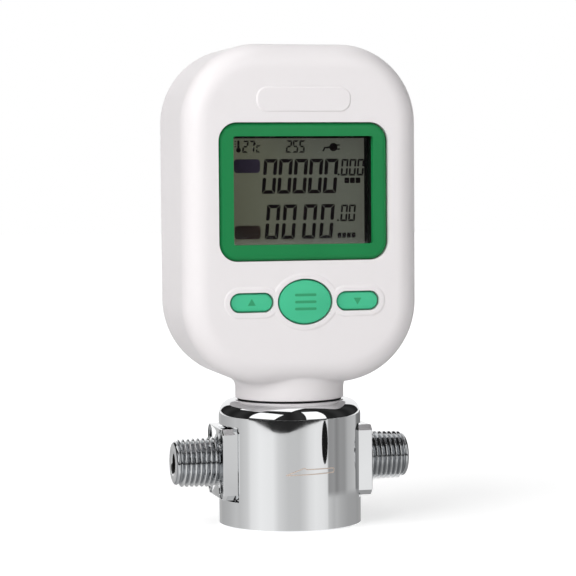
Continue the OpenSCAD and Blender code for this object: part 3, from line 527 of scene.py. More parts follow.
def arc(centre, radius, start, end, steps):
    """Points c + r (cos a, sin a), with a from start to end in degrees."""
    a = np.radians(np.linspace(start, end, steps + 1))
    return np.asarray(centre) + radius * np.stack([np.cos(a), np.sin(a)], -1)


def round_rect(width, height, radius, steps=12, centre=(0, 0)):
    """Outline of a rectangle whose corners are arcs, anticlockwise from the right."""
    x, y = width / 2 - radius, height / 2 - radius
    corners = [(x, y, 0), (-x, y, 90), (-x, -y, 180), (x, -y, 270)]
    return np.concatenate([
        arc((centre[0] + cx, centre[1] + cy), radius, a, a + 90, steps) for cx, cy, a in corners])


def oval(a, b, steps=96, centre=(0, 0)):
    """Outline (a cos t, b sin t) of an oval."""
    t = full_turn(steps)
    return np.stack([centre[0] + a * np.cos(t), centre[1] + b * np.sin(t)], -1)


def ring_y(outline, y):
    """Turns an outline (x, z) into points (x, y, z)."""
    return np.stack([outline[:, 0], np.full(len(outline), y), outline[:, 1]], -1)


def ring_x(outline, x, centre=(0, 0)):
    """Turns an outline (y, z) round a centre into points (x, y, z)."""
    return np.stack([np.full(len(outline), x), outline[:, 0] + centre[0], outline[:, 1] + centre[1]], -1)


def prism(outline, y0, y1):
    """A closed prism over an outline (x, z)."""
    return loft([ring_y(outline, y0), ring_y(outline, y1)])


def loft(rings, closed=False):
    """Quads between like rings (k, n, 3), joined end to end or capped, as (points, faces)."""
    rings = np.asarray(rings, float)
    k, n = rings.shape[:2]
    index = np.arange(k * n).reshape(k, n)
    after = np.roll(index, -1, 0) if closed else index[1:]
    here = index if closed else index[:-1]
    quads = np.stack([here, np.roll(here, -1, 1), np.roll(after, -1, 1), after], -1).reshape(-1, 4)
    faces = quads.tolist()
    if not closed:
        faces += [index[0][::-1].tolist(), index[-1].tolist()]
    return rings.reshape(-1, 3), faces


def loft_open(grid):
    """Quads over a grid of points that isn't closed either way."""
    grid = np.asarray(grid, float)
    index = np.arange(grid.shape[0] * grid.shape[1]).reshape(grid.shape[:2])
    quads = np.stack([index[:-1, :-1], index[:-1, 1:], index[1:, 1:], index[1:, :-1]], -1)
    return grid.reshape(-1, 3), quads.reshape(-1, 4).tolist()


def revolve(profile, axis="Z", centre=(0, 0, 0), steps=96, closed=False):
    """Turns a profile (radius, height) about an axis: points (r cos t, r sin t, h)."""
    profile = np.asarray(profile, float)
    t = full_turn(steps)
    r, h = profile[:, :1], np.repeat(profile[:, 1:2], steps, 1)
    around, across = r * np.cos(t), r * np.sin(t)
    order = {"Z": (around, across, h), "X": (h, around, across), "Y": (across, h, around)}[axis]
    return loft(np.stack(order, -1) + np.asarray(centre), closed)


def box(low_corner, high_corner):
    """Six faces between two corners."""
    a, b = np.asarray(low_corner), np.asarray(high_corner)
    outline = [(a[0], a[1]), (b[0], a[1]), (b[0], b[1]), (a[0], b[1])]
    return loft([[(x, y, z) for x, y in outline] for z in (a[2], b[2])])


def tube(path, radius, sides):
    """A round bar along points: rings radius (side cos t + up sin t), square to its local direction."""
    along = np.gradient(path, axis=0)
    along /= np.linalg.norm(along, axis=1, keepdims=True)
    guide = np.array([0.0, 0.0, 1.0]) if abs(along[0, 2]) < 0.9 else np.array([1.0, 0.0, 0.0])
    side = np.cross(along, guide)
    side /= np.linalg.norm(side, axis=1, keepdims=True)
    up = np.cross(side, along)
    t = full_turn(sides)[None, :, None]
    return loft(path[:, None] + radius * (side[:, None] * np.cos(t) + up[:, None] * np.sin(t)))


def moved(part, turn, where):
    """A part turned by a matrix and then carried to a place."""
    points, faces = part
    return points @ np.array(turn).T + np.array(where), faces


def mesh_of(name, parts):
    """One mesh from several (points, faces), with its faces turned outwards."""
    points, faces, base = [], [], 0
    for p, f in parts:
        points.append(np.asarray(p, float))
        faces += [[i + base for i in face] for face in f]
        base += len(p)
    mesh = bpy.data.meshes.new(name)
    mesh.from_pydata(np.concatenate(points), [], faces)
    work = bmesh.new()
    work.from_mesh(mesh)
    bmesh.ops.recalc_face_normals(work, faces=work.faces)
    work.to_mesh(mesh)
    work.free()
    return mesh


def linked(name, data):
    """An object at the origin that holds a mesh, a lamp or a camera."""
    thing = bpy.data.objects.new(name, data)
    bpy.context.scene.collection.objects.link(thing)
    return thing


def new_object(name, parts):
    """An object at the origin that holds the parts' mesh."""
    return linked(name, mesh_of(name, parts))


def settle(thing):
    """Applies an object's modifiers."""
    graph = bpy.context.evaluated_depsgraph_get()
    mesh = bpy.data.meshes.new_from_object(
        thing.evaluated_get(graph), preserve_all_data_layers=True, depsgraph=graph)
    thing.modifiers.clear()
    thing.data = mesh


def combine(thing, parts, operation):
    """Cuts parts away from an object, joins them to it, or keeps what they share."""
    tool = new_object(thing.name + "_tool", parts)
    change = thing.modifiers.new("change", "BOOLEAN")
    change.operation, change.solver, change.object = operation, "EXACT", tool
    change.use_self = True
    settle(thing)
    bpy.data.objects.remove(tool)


def join(thing, other):
    """Moves another object's mesh into an object."""
    work = bmesh.new()
    work.from_mesh(thing.data)
    work.from_mesh(other.data)
    work.to_mesh(thing.data)
    work.free()
    bpy.data.objects.remove(other)


def soften(thing, width):
    """Rounds the sharp edges, as a mould or a deburring tool leaves them."""
    edge = thing.modifiers.new("edge", "BEVEL")
    edge.limit_method, edge.angle_limit = "ANGLE", math.radians(BROKEN_EDGE)
    edge.width, edge.segments, edge.use_clamp_overlap = width, 2, True
    edge.miter_outer = "MITER_ARC"
    settle(thing)


def weigh(thing):
    """Lets the large flat faces rule the shading of the small ones beside them."""
    weight = thing.modifiers.new("weight", "WEIGHTED_NORMAL")
    weight.keep_sharp, weight.weight = True, 60


def dress(thing, maker, body_name, smooth=35, replaces=()):
    """Shades a piece, gives it its material and slot, and lets it ride on its body."""
    mesh = thing.data
    mesh.shade_smooth()
    mesh.set_sharp_from_angle(angle=math.radians(smooth))
    mesh.materials.clear()
    mesh.materials.append(material_for(maker))
    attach(thing, body_name)
    if replaces:
        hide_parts(*replaces)


def carry(finishes):
    """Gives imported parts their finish."""
    for node, maker in finishes.items():
        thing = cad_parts[node]
        thing.data.materials.clear()
        thing.data.materials.append(material_for(maker))


def islands(node):
    """Boxes of the separate solids of a part, as (low corner, high corner)."""
    work = bmesh.new()
    work.from_mesh(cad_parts[node].data)
    bmesh.ops.remove_doubles(work, verts=work.verts, dist=0.001 * MM)
    left, boxes = set(work.verts), []
    while left:
        heap, points = [left.pop()], []
        while heap:
            vert = heap.pop()
            points.append(vert.co)
            for edge in vert.link_edges:
                other = edge.other_vert(vert)
                if other in left:
                    left.remove(other)
                    heap.append(other)
        boxes.append((np.min(points, 0), np.max(points, 0)))
    work.free()
    return sorted(boxes, key=lambda pair: tuple(pair[0]))


def screw_places(node):
    """Places (x, z) of screws that stand along Y."""
    return [((a[0] + b[0]) / 2, (a[2] + b[2]) / 2) for a, b in islands(node)]


# Head

def head_outline(inset):
    """Outline of the head: four arcs about fixed centres, whose radii shrink by the inset."""
    h = group("head")
    top, bottom = HEAD_TOP - h.top_radius, h.underside + h.low_radius
    corners = [(1, h.top_radius, top), (-1, h.top_radius, top),
               (-1, h.low_radius, bottom), (1, h.low_radius, bottom)]
    return np.concatenate([
        arc((side * (h.width / 2 - r), z), r - inset, 90 * i, 90 * i + 90, 32)
        for i, (side, r, z) in enumerate(corners)])


def edge_rings(face_y, edge, sign, inset=0.0):
    """Rings of a rounded edge, from the flat face to the side: inset e(1 - sin t), depth e(1 - cos t)."""
    t = np.linspace(0, np.pi / 2, 15)
    return [ring_y(head_outline(inset + edge * (1 - np.sin(a))), face_y + sign * edge * (1 - np.cos(a)))
            for a in t]


def half_shell(face_y, edge, sign):
    """A shell from its flat face to the parting plane and back along its inner wall, as one loft."""
    wall, seam_break = group("head").wall, 0.08 * MM
    outer = edge_rings(face_y, edge, sign)
    inner = edge_rings(face_y + sign * wall, edge - wall, sign, wall)
    lip = [ring_y(head_outline(0), SEAM_Y - sign * seam_break), ring_y(head_outline(seam_break), SEAM_Y)]
    rim = [ring_y(head_outline(wall), SEAM_Y)]
    return loft(outer + lip + rim + inner[::-1])


def underside_height(x, y):
    """Height of the head's underside at x, y: the lower corner's arc, inset by the rounded edge."""
    h = group("head")
    edge = np.where(y < 0, h.front_edge, h.back_edge)
    depth = np.where(y < 0, h.front + y, BACK_Y - y)
    inset = edge - np.sqrt(np.clip(edge ** 2 - (edge - np.clip(depth, 0, edge)) ** 2, 0, None))
    beside = np.clip(np.abs(x) - (h.width / 2 - h.low_radius), 0, None)
    return h.underside + h.low_radius - np.sqrt((h.low_radius - inset) ** 2 - beside ** 2)


def neck_part():
    """The neck: a tube whose outside runs into the head along a curve (1-s)^2 p0 + 2s(1-s) p1 + s^2 p2.

    The curve spreads more at the sides than at the front and back. Past it the neck folds in through
    the head's wall, which it overlaps a little.
    """
    h = group("head")
    r, lip = h.neck_radius, 0.25 * MM
    front_spread, side_spread, flare_drop = 0.9, 1.7, 2.2 * MM
    overlap, fold_in, fold_up, inset = 0.02 * MM, 0.4 * MM, 0.6 * MM, 0.6 * MM
    t = full_turn(160)

    def ring(radius, z):
        return np.stack([radius * np.cos(t), radius * np.sin(t), z * np.ones_like(t)], -1)

    start, top = h.underside - flare_drop, h.underside + 2 * h.wall
    flare = (front_spread + side_spread * np.cos(t) ** 2) * MM
    meet = underside_height(r * np.cos(t), r * np.sin(t))
    far = underside_height((r + flare) * np.cos(t), (r + flare) * np.sin(t)) + overlap
    rings = [ring(NECK_BORE, top), ring(NECK_BORE, NECK_Z), ring(r - lip, NECK_Z)]
    rings += [ring(r - lip + lip * math.sin(a), NECK_Z + lip - lip * math.cos(a))
              for a in np.linspace(0, math.pi / 2, 5)[1:]]
    rings += [ring(r + flare * s ** 2, (1 - s) ** 2 * start + 2 * s * (1 - s) * meet + s ** 2 * far)
              for s in np.linspace(0, 1, 10)]
    rings += [ring(r + flare - fold_in, far + fold_up), ring(r - inset, top)]
    return loft(rings, closed=True)


def join_neck(shell, sign):
    """Joins to a shell the half of the neck on its side of the parting plane."""
    neck = new_object(shell.name + "_neck", [neck_part()])
    reach = 100 * MM
    near, far = sorted((SEAM_Y, SEAM_Y + sign * reach))
    combine(neck, [box((-reach, near, -reach), (reach, far, 2 * reach))], "INTERSECT")
    join(shell, neck)


def raised(wide, narrow, y, height):
    """Rings that rise from a wide outline to a narrow one along a quarter wave, capped."""
    rings = [ring_y(wide + (narrow - wide) * s, y - height * math.sin(s * math.pi / 2))
             for s in np.linspace(0, 1, 5)]
    return loft([ring_y(wide, y + 0.5 * MM)] + rings)


def key_outlines(margin):
    """Outlines of the three keys, grown by a margin."""
    k = group("keys")
    yield oval(k.menu_width / 2 + margin, k.menu_height / 2 + margin, centre=(0, KEYS_Z))
    for side in (-1, 1):
        yield round_rect(k.arrow_width + 2 * margin, k.arrow_height + 2 * margin,
                         k.arrow_height / 2 + margin, centre=(side * ARROW_X, KEYS_Z))


class METER_OT_front_shell(bpy.types.Operator):
    """Front half of the case: rounded edge, raised key pad, bare plaque, openings and neck"""

    bl_idname = "meter.front_shell"
    bl_label = "Front shell"

    def execute(self, context):
        h = group("head")
        front = -h.front
        shell = new_object("front_case", [half_shell(front, h.front_edge, 1)])
        self.plaque(shell, front)
        pad_foot, pad_top = 2.1 * MM, 1.35 * MM
        for wide, narrow in zip(key_outlines(pad_foot), key_outlines(pad_top)):
            combine(shell, [raised(wide, narrow, front, h.pad_height)], "UNION")
        self.openings(shell, front - 5 * MM, front + h.wall + MM)
        soften(shell, SHELL_BREAK)
        neck_hole = revolve([(NECK_BORE, NECK_Z - MM), (NECK_BORE, h.underside + 2 * h.wall)])
        combine(shell, [neck_hole], "DIFFERENCE")
        join_neck(shell, -1)
        dress(shell, white_abs, "head", smooth=28, replaces=["front_shell"])
        weigh(shell)
        return {"FINISHED"}

    def plaque(self, shell, front):
        """The bare raised plaque above the display, with sloping edges."""
        width, tall, radius, slope, proud = 26.6 * MM, 6.9 * MM, 3.05 * MM, 0.5 * MM, 0.28 * MM
        centre = (0, HEAD_TOP - group("head").plaque_drop)
        foot = round_rect(width, tall, radius, centre=centre)
        top = round_rect(width - 2 * slope, tall - 2 * slope, radius - slope, centre=centre)
        combine(shell, [raised(foot, top, front, proud)], "UNION")

    def openings(self, shell, outside, inside):
        """The holes for the bezel and the keys."""
        d, gap = group("display"), 0.12 * MM
        bezel = round_rect(d.bezel_width + 2 * gap, d.bezel_height + 2 * gap, d.bezel_radius + gap,
                           centre=(0, middle("display_bezel")[2]))
        holes = [prism(outline, outside, inside) for outline in (bezel, *key_outlines(group("keys").gap))]
        combine(shell, holes, "DIFFERENCE")


class METER_OT_back_shell(bpy.types.Operator):
    """Back half of the case with its door opening, jack recess and screw holes"""

    bl_idname = "meter.back_shell"
    bl_label = "Back shell"

    def execute(self, context):
        h = group("head")
        shell = new_object("back_case", [half_shell(BACK_Y, h.back_edge, -1)])
        far, near = BACK_Y + 5 * MM, BACK_Y - h.wall - MM
        door_low, door_high = low("battery_door"), high("battery_door")
        pin, gap = 1.6 * MM, 0.3 * MM
        cuts = [box((door_low[0] + pin - gap, near, door_low[2] - gap),
                    (door_high[0] - pin + gap, far, door_high[2] + gap))]
        screw_hole, screw_deep = 2.65 * MM, 3.4 * MM
        for x, z in screw_places("shell_screws"):
            cuts.append(revolve([(screw_hole, BACK_Y - screw_deep), (screw_hole, far)], "Y",
                                (x, 0, z), steps=48))
        jack_hole, recess, recess_deep = 4.05 * MM, 5.2 * MM, 1.2 * MM
        x, _, z = middle("power_jack")
        cuts.append(revolve([(jack_hole, near), (jack_hole, BACK_Y - recess_deep),
                             (recess, BACK_Y - recess_deep), (recess, far)], "Y", (x, 0, z), steps=64))
        combine(shell, cuts, "DIFFERENCE")
        notch, notch_deep = 7 * MM, 1.5 * MM
        t = np.linspace(0, np.pi, 25)[1:-1]
        ball = revolve(np.stack([notch * np.sin(t), -notch * np.cos(t)], -1), "Y",
                       (0, BACK_Y + notch - notch_deep, door_low[2] - gap), 48)
        combine(shell, [ball], "DIFFERENCE")
        soften(shell, SHELL_BREAK)
        join_neck(shell, 1)
        tip, boss = 2.7 * MM, 3 * MM
        bosses = [revolve([(tip, SEAM_Y), (boss, SEAM_Y), (boss, BACK_Y - h.wall)], "Y", (x, 0, z), steps=32)
                  for x, z in screw_places("shell_screws")]
        join(shell, new_object("bosses", bosses))
        dress(shell, white_abs, "head", smooth=28, replaces=["back_shell"])
        weigh(shell)
        return {"FINISHED"}


class METER_OT_bezel(bpy.types.Operator):
    """Green frame of the window: rounded outside, slightly sunk face, soft inner edge"""

    bl_idname = "meter.bezel"
    bl_label = "Bezel"

    def execute(self, context):
        d = group("display")
        a, b = low("display_bezel"), high("display_bezel")
        outer_z, window_z = (a[2] + b[2]) / 2, middle("window_lens")[2]
        face, back = a[1], b[1]
        lip, edge, fall, soft = 1.3 * MM, 1.6 * MM, 1.5 * MM, 0.5 * MM
        window_radius, rebate, rebate_deep = 0.6 * MM, 2.05 * MM, 1.2 * MM

        def outer(grow, y):
            return ring_y(round_rect(d.bezel_width + 2 * grow, d.bezel_height + 2 * grow,
                                     d.bezel_radius + grow, 16, (0, outer_z)), y)

        def inner(grow, y, radius=window_radius):
            return ring_y(round_rect(d.window_width + 2 * grow, d.window_height + 2 * grow,
                                     radius, 16, (0, window_z)), y)

        rings = [outer(lip, back), outer(lip, back - lip), outer(0, back - lip)]
        rings += [outer(edge * (math.cos(t) - 1), face + fall * (1 - math.sin(t)))
                  for t in np.linspace(0, math.pi / 2, 9)]
        rings += [inner(soft * math.cos(t), face + soft * (1 - math.sin(t)),
                        window_radius + soft * math.cos(t)) for t in np.linspace(math.pi / 2, 0, 6)]
        rings += [inner(0, back - rebate_deep), inner(rebate, back - rebate_deep), inner(rebate, back)]
        bezel = new_object("bezel_frame", [loft(rings, closed=True)])
        dress(bezel, green_abs, "head", smooth=40, replaces=["display_bezel"])
        return {"FINISHED"}


# Display

SEGMENTS = {"a": ("level", 1, 1), "d": ("level", 1, -1), "f": ("upright", 1, 1), "b": ("upright", -1, 1),
            "e": ("upright", 1, -1), "c": ("upright", -1, -1), "g": ("middle", 1, 1)}
DIGITS = {"0": "abcdef", "2": "abdeg", "5": "acdfg", "7": "abc", "C": "adef"}


def digit(symbol, x, z, width, height, stroke):
    """Mitred bars of a seven segment digit with its lower left corner at x, z, leaning by the slant."""
    w, h, s, gap = width / 2, height / 2, stroke, 0.07 * stroke + 0.03 * MM
    shapes = {
        "level": [(gap - w, h), (w - gap, h), (w - s - gap, h - s), (s + gap - w, h - s)],
        "upright": [(-w, h - gap), (-w, gap + s / 2), (s / 2 - w, gap + s / 4), (s - w, gap + s / 2),
                    (s - w, h - s - gap)],
        "middle": [(gap + s / 2 - w, 0), (s + gap - w, s / 2), (w - s - gap, s / 2),
                   (w - gap - s / 2, 0), (w - s - gap, -s / 2), (s + gap - w, -s / 2)],
    }
    for key in DIGITS[symbol]:
        shape, flip_x, flip_z = SEGMENTS[key]
        points = np.array(shapes[shape]) * (flip_x, flip_z) + (w, h)
        points[:, 0] += x + points[:, 1] * math.tan(group("display").slant)
        points[:, 1] += z
        yield points


def bar(start, end, width):
    """A bar between two points, as an outline."""
    start, end = np.asarray(start, float), np.asarray(end, float)
    along = (end - start) / np.linalg.norm(end - start)
    side = np.array([-along[1], along[0]]) * width / 2
    return np.array([start + side, end + side, end - side, start - side])


def disc(x, z, radius):
    """A round dot."""
    return oval(radius, radius, 16, (x, z))


def thermometer(x, z, height):
    """A stem with a round bulb and three short ticks beside it."""
    bulb = 0.2 * height
    yield disc(x, z + bulb, bulb)
    yield round_rect(0.18 * height, 0.75 * height, 0.08 * height, 4, (x, z + 0.62 * height))
    for i in range(3):
        yield round_rect(0.14 * height, 0.06 * height, 0.02 * height, 2,
                         (x - 0.26 * height, z + (0.5 + 0.2 * i) * height))


def supply_plug(x, z, size):
    """A round plug body with two pins and a bent tail."""
    yield disc(x, z, 0.5 * size)
    for side in (-1, 1):
        yield round_rect(0.5 * size, 0.16 * size, 0.05 * size, 2, (x + 0.55 * size, z + side * 0.24 * size))
    yield bar((x - 0.4 * size, z), (x - 1.1 * size, z - 0.1 * size), 0.2 * size)
    yield bar((x - 1.05 * size, z), (x - 1.3 * size, z - 0.5 * size), 0.2 * size)


# Each row: symbols, left edge, lower edge, pitch, width and height of a digit, stroke (mm)
ROWS = [
    ("00000", -10.5, 92.6, 4.34, 3.8, 9.5, 0.98),
    ("00", -9.75, 80.1, 4.7, 3.8, 9.5, 0.98),
    ("00", 0.75, 80.1, 4.96, 3.8, 9.5, 0.98),
    ("000", 12.0, 97.4, 2.3, 1.95, 4.6, 0.52),
    ("00", 11.8, 84.8, 2.25, 1.95, 4.6, 0.52),
    ("27", -15.9, 103.85, 1.8, 1.6, 3.3, 0.44),
    ("255", -3.6, 103.8, 1.85, 1.6, 3.4, 0.44),
    ("C", -12.0, 103.9, 1.2, 1.2, 2.0, 0.36),
]
# Dots: centre and radius (mm)
DOTS = [(11.45, 97.75, 0.3), (11.2, 85.1, 0.3), (-12.3, 106.3, 0.28)]
# Blank bars under the small digits: first centre x and z, width, height, pitch (mm), count
UNIT_BARS = [(13.8, 96.1, 1.35, 1.5, 1.6, 3), (11.6, 80.95, 1.1, 1.4, 1.35, 4)]
UNIT_CORNER = 0.2
# Signs: maker, centre x, lower edge or centre z, size (mm)
SIGNS = [(thermometer, -16.9, 103.9, 3.3), (supply_plug, 10.0, 105.3, 2.3)]
# Blank badges at the left of the two rows: centre x and z, and ink; then width, height and corners (mm)
BADGES = {"upper": (-14.55, 100.2, violet_ink), "lower": (-14.5, 82.05, brown_ink)}
BADGE_WIDTH, BADGE_HEIGHT, BADGE_CORNER = 7.3, 3.75, 0.9


def display_symbols():
    """Outlines of the digits, dots, bars and signs, in metres."""
    for text, x, z, pitch, width, height, stroke in ROWS:
        for i, symbol in enumerate(text):
            yield from digit(symbol, (x + i * pitch) * MM, z * MM, width * MM, height * MM, stroke * MM)
    for x, z, r in DOTS:
        yield disc(x * MM, z * MM, r * MM)
    for x, z, width, height, pitch, count in UNIT_BARS:
        for i in range(count):
            yield round_rect(width * MM, height * MM, UNIT_CORNER * MM, 4, ((x + i * pitch) * MM, z * MM))
    for sign, x, z, size in SIGNS:
        yield from sign(x * MM, z * MM, size * MM)


def border_and_shade_strips():
    """Black border: it covers more of the right and upper edges, as painted shade for the bezel's shadow
    there.
    """
    d, z = group("display"), middle("window_lens")[2]
    cover_right, cover_top, reach = 0.85 * MM, 0.5 * MM, 1.2 * MM
    left, right = -d.window_width / 2 - reach, d.window_width / 2 + reach
    bottom, top = z - d.window_height / 2 - reach, z + d.window_height / 2 + reach
    inner_x, inner_z = d.window_width / 2 - cover_right, z + d.window_height / 2 - cover_top
    return [np.array([(inner_x, bottom), (right, bottom), (right, top), (inner_x, top)]),
            np.array([(left, inner_z), (inner_x, inner_z), (inner_x, top), (left, top)])]


class METER_OT_display(bpy.types.Operator):
    """Dark segments on the face of the display glass, and finishes of the stack behind the window"""

    bl_idname = "meter.display"
    bl_label = "Display"

    def execute(self, context):
        marks = {"digits": (display_symbols(), segment_ink)}
        for name, (x, z, ink) in BADGES.items():
            badge = round_rect(BADGE_WIDTH * MM, BADGE_HEIGHT * MM, BADGE_CORNER * MM, 6, (x * MM, z * MM))
            marks[name] = ([badge], ink)
        # Painted shade: the border's wider right and upper strips stand in for the bezel's shadow
        marks["border"] = (border_and_shade_strips(), border_and_shade_ink)
        face, proud = low("lcd_glass")[1], 0.03 * MM
        for name, (outlines, ink) in marks.items():
            mark = new_object("display_" + name, [prism(o, face - proud, face + proud) for o in outlines])
            dress(mark, ink, "head")
        carry({"lcd_glass": display_film, "window_lens": clear_acrylic, "lcd_frame": black_nylon,
               "lcd_backlight": white_diffuser, "lcd_pins": turned_steel})
        # The clear pane lets the lamps through to the display
        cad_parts["window_lens"].visible_shadow = False
        return {"FINISHED"}


# Keys

def crowned_key(x, half_w, half_h, pill, top, rise, back):
    """A key whose face rises from a rounded rim: rings shrink as cos t while the face climbs as sin t."""
    def ring(shrink, y):
        if pill:
            radius = half_h - shrink
            return ring_y(round_rect(2 * (half_w - shrink), 2 * radius, radius, 24, (x, KEYS_Z)), y)
        return ring_y(oval(half_w - shrink, half_h - shrink, 128, (x, KEYS_Z)), y)

    rim, skirt, skirt_thick = 0.45 * MM, 0.55 * MM, MM
    inner = min(half_w, half_h) - 0.05 * MM
    rings = [ring(-skirt, back), ring(-skirt, back - skirt_thick), ring(0, back - skirt_thick)]
    rings += [ring(rim * (1 - math.cos(t)), top + rise + rim * (1 - math.sin(t)))
              for t in np.linspace(0, math.pi / 2, 7)]
    rings += [ring(rim + (inner - rim) * s, top + rise * (1 - s) ** 2) for s in np.linspace(0, 1, 14)[1:]]
    return loft(rings)


class METER_OT_keys(bpy.types.Operator):
    """The oval menu key with its plain bars and the two arrow keys with their triangles"""

    bl_idname = "meter.keys"
    bl_label = "Keys"

    def execute(self, context):
        k, h = group("keys"), group("head")
        back = -h.front + h.wall + 1.1 * MM
        arrow_size, menu_size = (k.arrow_width, k.arrow_height), (k.menu_width, k.menu_height)
        arrow_rise, menu_rise = 0.12 * MM, 0.55 * MM
        stem, stem_in = 2 * MM, 0.2 * MM
        for name, x, pill in (("menu", 0.0, False), ("up", -ARROW_X, True), ("down", ARROW_X, True)):
            node = name + "_button"
            top, end = low(node)[1], high(node)[1]
            width, height = arrow_size if pill else menu_size
            cap = crowned_key(x, width / 2, height / 2, pill, top, arrow_rise if pill else menu_rise, back)
            post = revolve([(stem, back - stem_in), (stem, end)], "Y", (x, 0, KEYS_Z), steps=40)
            dress(new_object(node + "_cap", [cap, post]), mint_silicone, name + "_key",
                  smooth=38, replaces=[node])
            mark = self.triangle(x, 1 if name == "up" else -1, top) if pill else self.bars(top)
            dress(new_object(node + "_mark", mark), mark_ink, name + "_key")
            carry({name + "_plunger": cream_nylon})
        return {"FINISHED"}

    def triangle(self, x, way, top):
        """Raised triangle on an arrow key, which points up or down."""
        reach, shift, proud, sunk = 1.25 * MM, 0.15 * MM, 0.06 * MM, 0.5 * MM
        outline = arc((x, KEYS_Z - way * shift), reach, 90 * way, 90 * way + 360, 3)[:3]
        return [prism(outline, top - proud, top + sunk)]

    def bars(self, top):
        """Three raised bars on the oval key, of which the outer two lie lower on its crown."""
        long, wide, radius, pitch = 6 * MM, 0.7 * MM, 0.3 * MM, 1.9 * MM
        proud, crown, sunk = 0.06 * MM, 0.05 * MM, 0.5 * MM
        return [prism(round_rect(long, wide, radius, 5, (0, KEYS_Z + i * pitch)),
                      top - proud + crown * abs(i), top + sunk) for i in (-1, 0, 1)]


# Flow body and fittings

def body_profile():
    """Half section of the body: base edge, wall, rounded shoulder, top with the seal groove, sockets."""
    s, base_edge, core = group("body").shoulder, 0.4 * MM, 0.6 * MM
    seal_in, seal_out, seal_deep = 12.85 * MM, 14.65 * MM, 0.6 * MM
    socket, socket_deep, room, room_deep, hole = 12.35 * MM, 4 * MM, 5.8 * MM, 10 * MM, 4.15 * MM
    return [
        (core, 0), (BODY_R - base_edge, 0), (BODY_R, base_edge),
        *arc((BODY_R - s, BODY_TOP - s), s, 0, 90, 20).tolist(),
        (seal_out, BODY_TOP), (seal_out, BODY_TOP - seal_deep), (seal_in, BODY_TOP - seal_deep),
        (seal_in, BODY_TOP), (socket, BODY_TOP), (socket, BODY_TOP - socket_deep),
        (room, BODY_TOP - socket_deep), (room, BODY_TOP - room_deep), (hole, BODY_TOP - room_deep),
        (hole, PORT_Z), (core, PORT_Z)]


class METER_OT_flow_body(bpy.types.Operator):
    """Plated cylinder with its rounded shoulder and the two flange pockets"""

    bl_idname = "meter.flow_body"
    bl_label = "Flow body"

    def execute(self, context):
        g = group("body")
        block = new_object("plated_body", [revolve(body_profile(), steps=360)])
        half, channel = g.seat_side / 2, 4 * MM
        pockets = []
        for side in (-1, 1):
            near, far = sorted((side * g.seat, side * (BODY_R + 5 * MM)))
            pockets.append(box((near, -half, PORT_Z - half), (far, half, PORT_Z + half)))
        combine(block, pockets, "DIFFERENCE")
        combine(block, [revolve([(channel, -BODY_R), (channel, BODY_R)], "X", (0, 0, PORT_Z), steps=64)],
                "DIFFERENCE")
        soften(block, 0.14 * MM)
        dress(block, nickel_plate, "base", smooth=32, replaces=["flow_body"])
        true_wall(block)
        dress(new_object("flow_arrow", flow_arrow()), arrow_paint, "base")
        return {"FINISHED"}


def flow_arrow():
    """Thin outline of a slender arrow with one barb, wrapped on the wall.

    A corner lies at asin(u) R along the wall, with u its share of the radius to the camera's right,
    and at the height z. Each line's points (along, z) go to the angle t = along / R, less the
    camera's turn.
    """
    width, above = 0.3 * MM, 0.006 * MM
    corners = [(-0.05, 15.7), (0.2, 17.65), (0.23, 17.25), (0.6, 17.25), (0.6, 16.05)]
    along = np.array([(math.asin(u) * BODY_R, z * MM) for u, z in corners])
    share, r = np.linspace(0, 1, 16)[:, None], BODY_R + above
    parts = []
    for start, end in zip(along, np.roll(along, -1, 0)):
        a, b, c, d = bar(start, end, width)
        grid = np.stack([a + (b - a) * share, d + (c - d) * share], 1)
        t = grid[..., 0] / BODY_R - group("stage").turn
        parts.append(loft_open(np.stack([r * np.sin(t), -r * np.cos(t), grid[..., 1]], -1)))
    return parts


def read_array(items, key, width, kind=float):
    """An attribute of many mesh items as an array."""
    values = np.zeros(len(items) * width, kind)
    items.foreach_get(key, values)
    return values.reshape(-1, width) if width > 1 else values


def true_wall(thing):
    """Gives the corners of the round wall the cylinder's own normals, so that reflections run straight."""
    mesh = thing.data
    where = read_array(mesh.vertices, "co", 3)[read_array(mesh.loops, "vertex_index", 1, int)]
    normals = read_array(mesh.corner_normals, "vector", 3)
    totals = read_array(mesh.polygons, "loop_total", 1, int)
    face = np.repeat(read_array(mesh.polygons, "normal", 3), totals, 0)
    r = np.hypot(where[:, 0], where[:, 1])
    radial = np.stack([where[:, 0] / r, where[:, 1] / r, np.zeros(len(r))], -1)
    on_wall = (np.abs(r - BODY_R) < 0.002 * MM) & ((face * radial).sum(1) > math.cos(math.radians(1)))
    normals[on_wall] = radial[on_wall]
    mesh.normals_split_custom_set(normals.tolist())


def thread_wall(start, end, sides, steps=24):
    """Wall of the nipple: r = crest - depth v(x/pitch - t/2pi), a helix that fades at both ends.

    The crest's radius grows by 1/32 of the distance from the tip. The groove's section v is a V cut
    flat at its top and bottom.
    """
    g = group("body")
    slope, flat = 1.3, 0.15
    run_in, run_out, last_turn = 0.25 * g.thread_pitch, 0.4 * MM, 0.6 * MM
    x = np.arange(start, end, g.thread_pitch / steps)[:, None]
    t = full_turn(sides)[None]
    phase = (x / g.thread_pitch - t / (2 * np.pi)) % 1
    groove = np.clip(np.abs(phase - 0.5) * 2 * slope - flat, 0, 1)
    fade = np.clip((x - start) / run_in, 0, 1) * np.clip((end - x) / run_out, 0, 1)
    crest = g.thread_radius + (TIP_X - x) / TAPER
    r = crest - g.thread_depth * np.where(x > end - last_turn, 1 - (1 - groove) * fade, groove)
    return np.stack([np.repeat(x, sides, 1), r * np.cos(t), r * np.sin(t) + PORT_Z], -1)


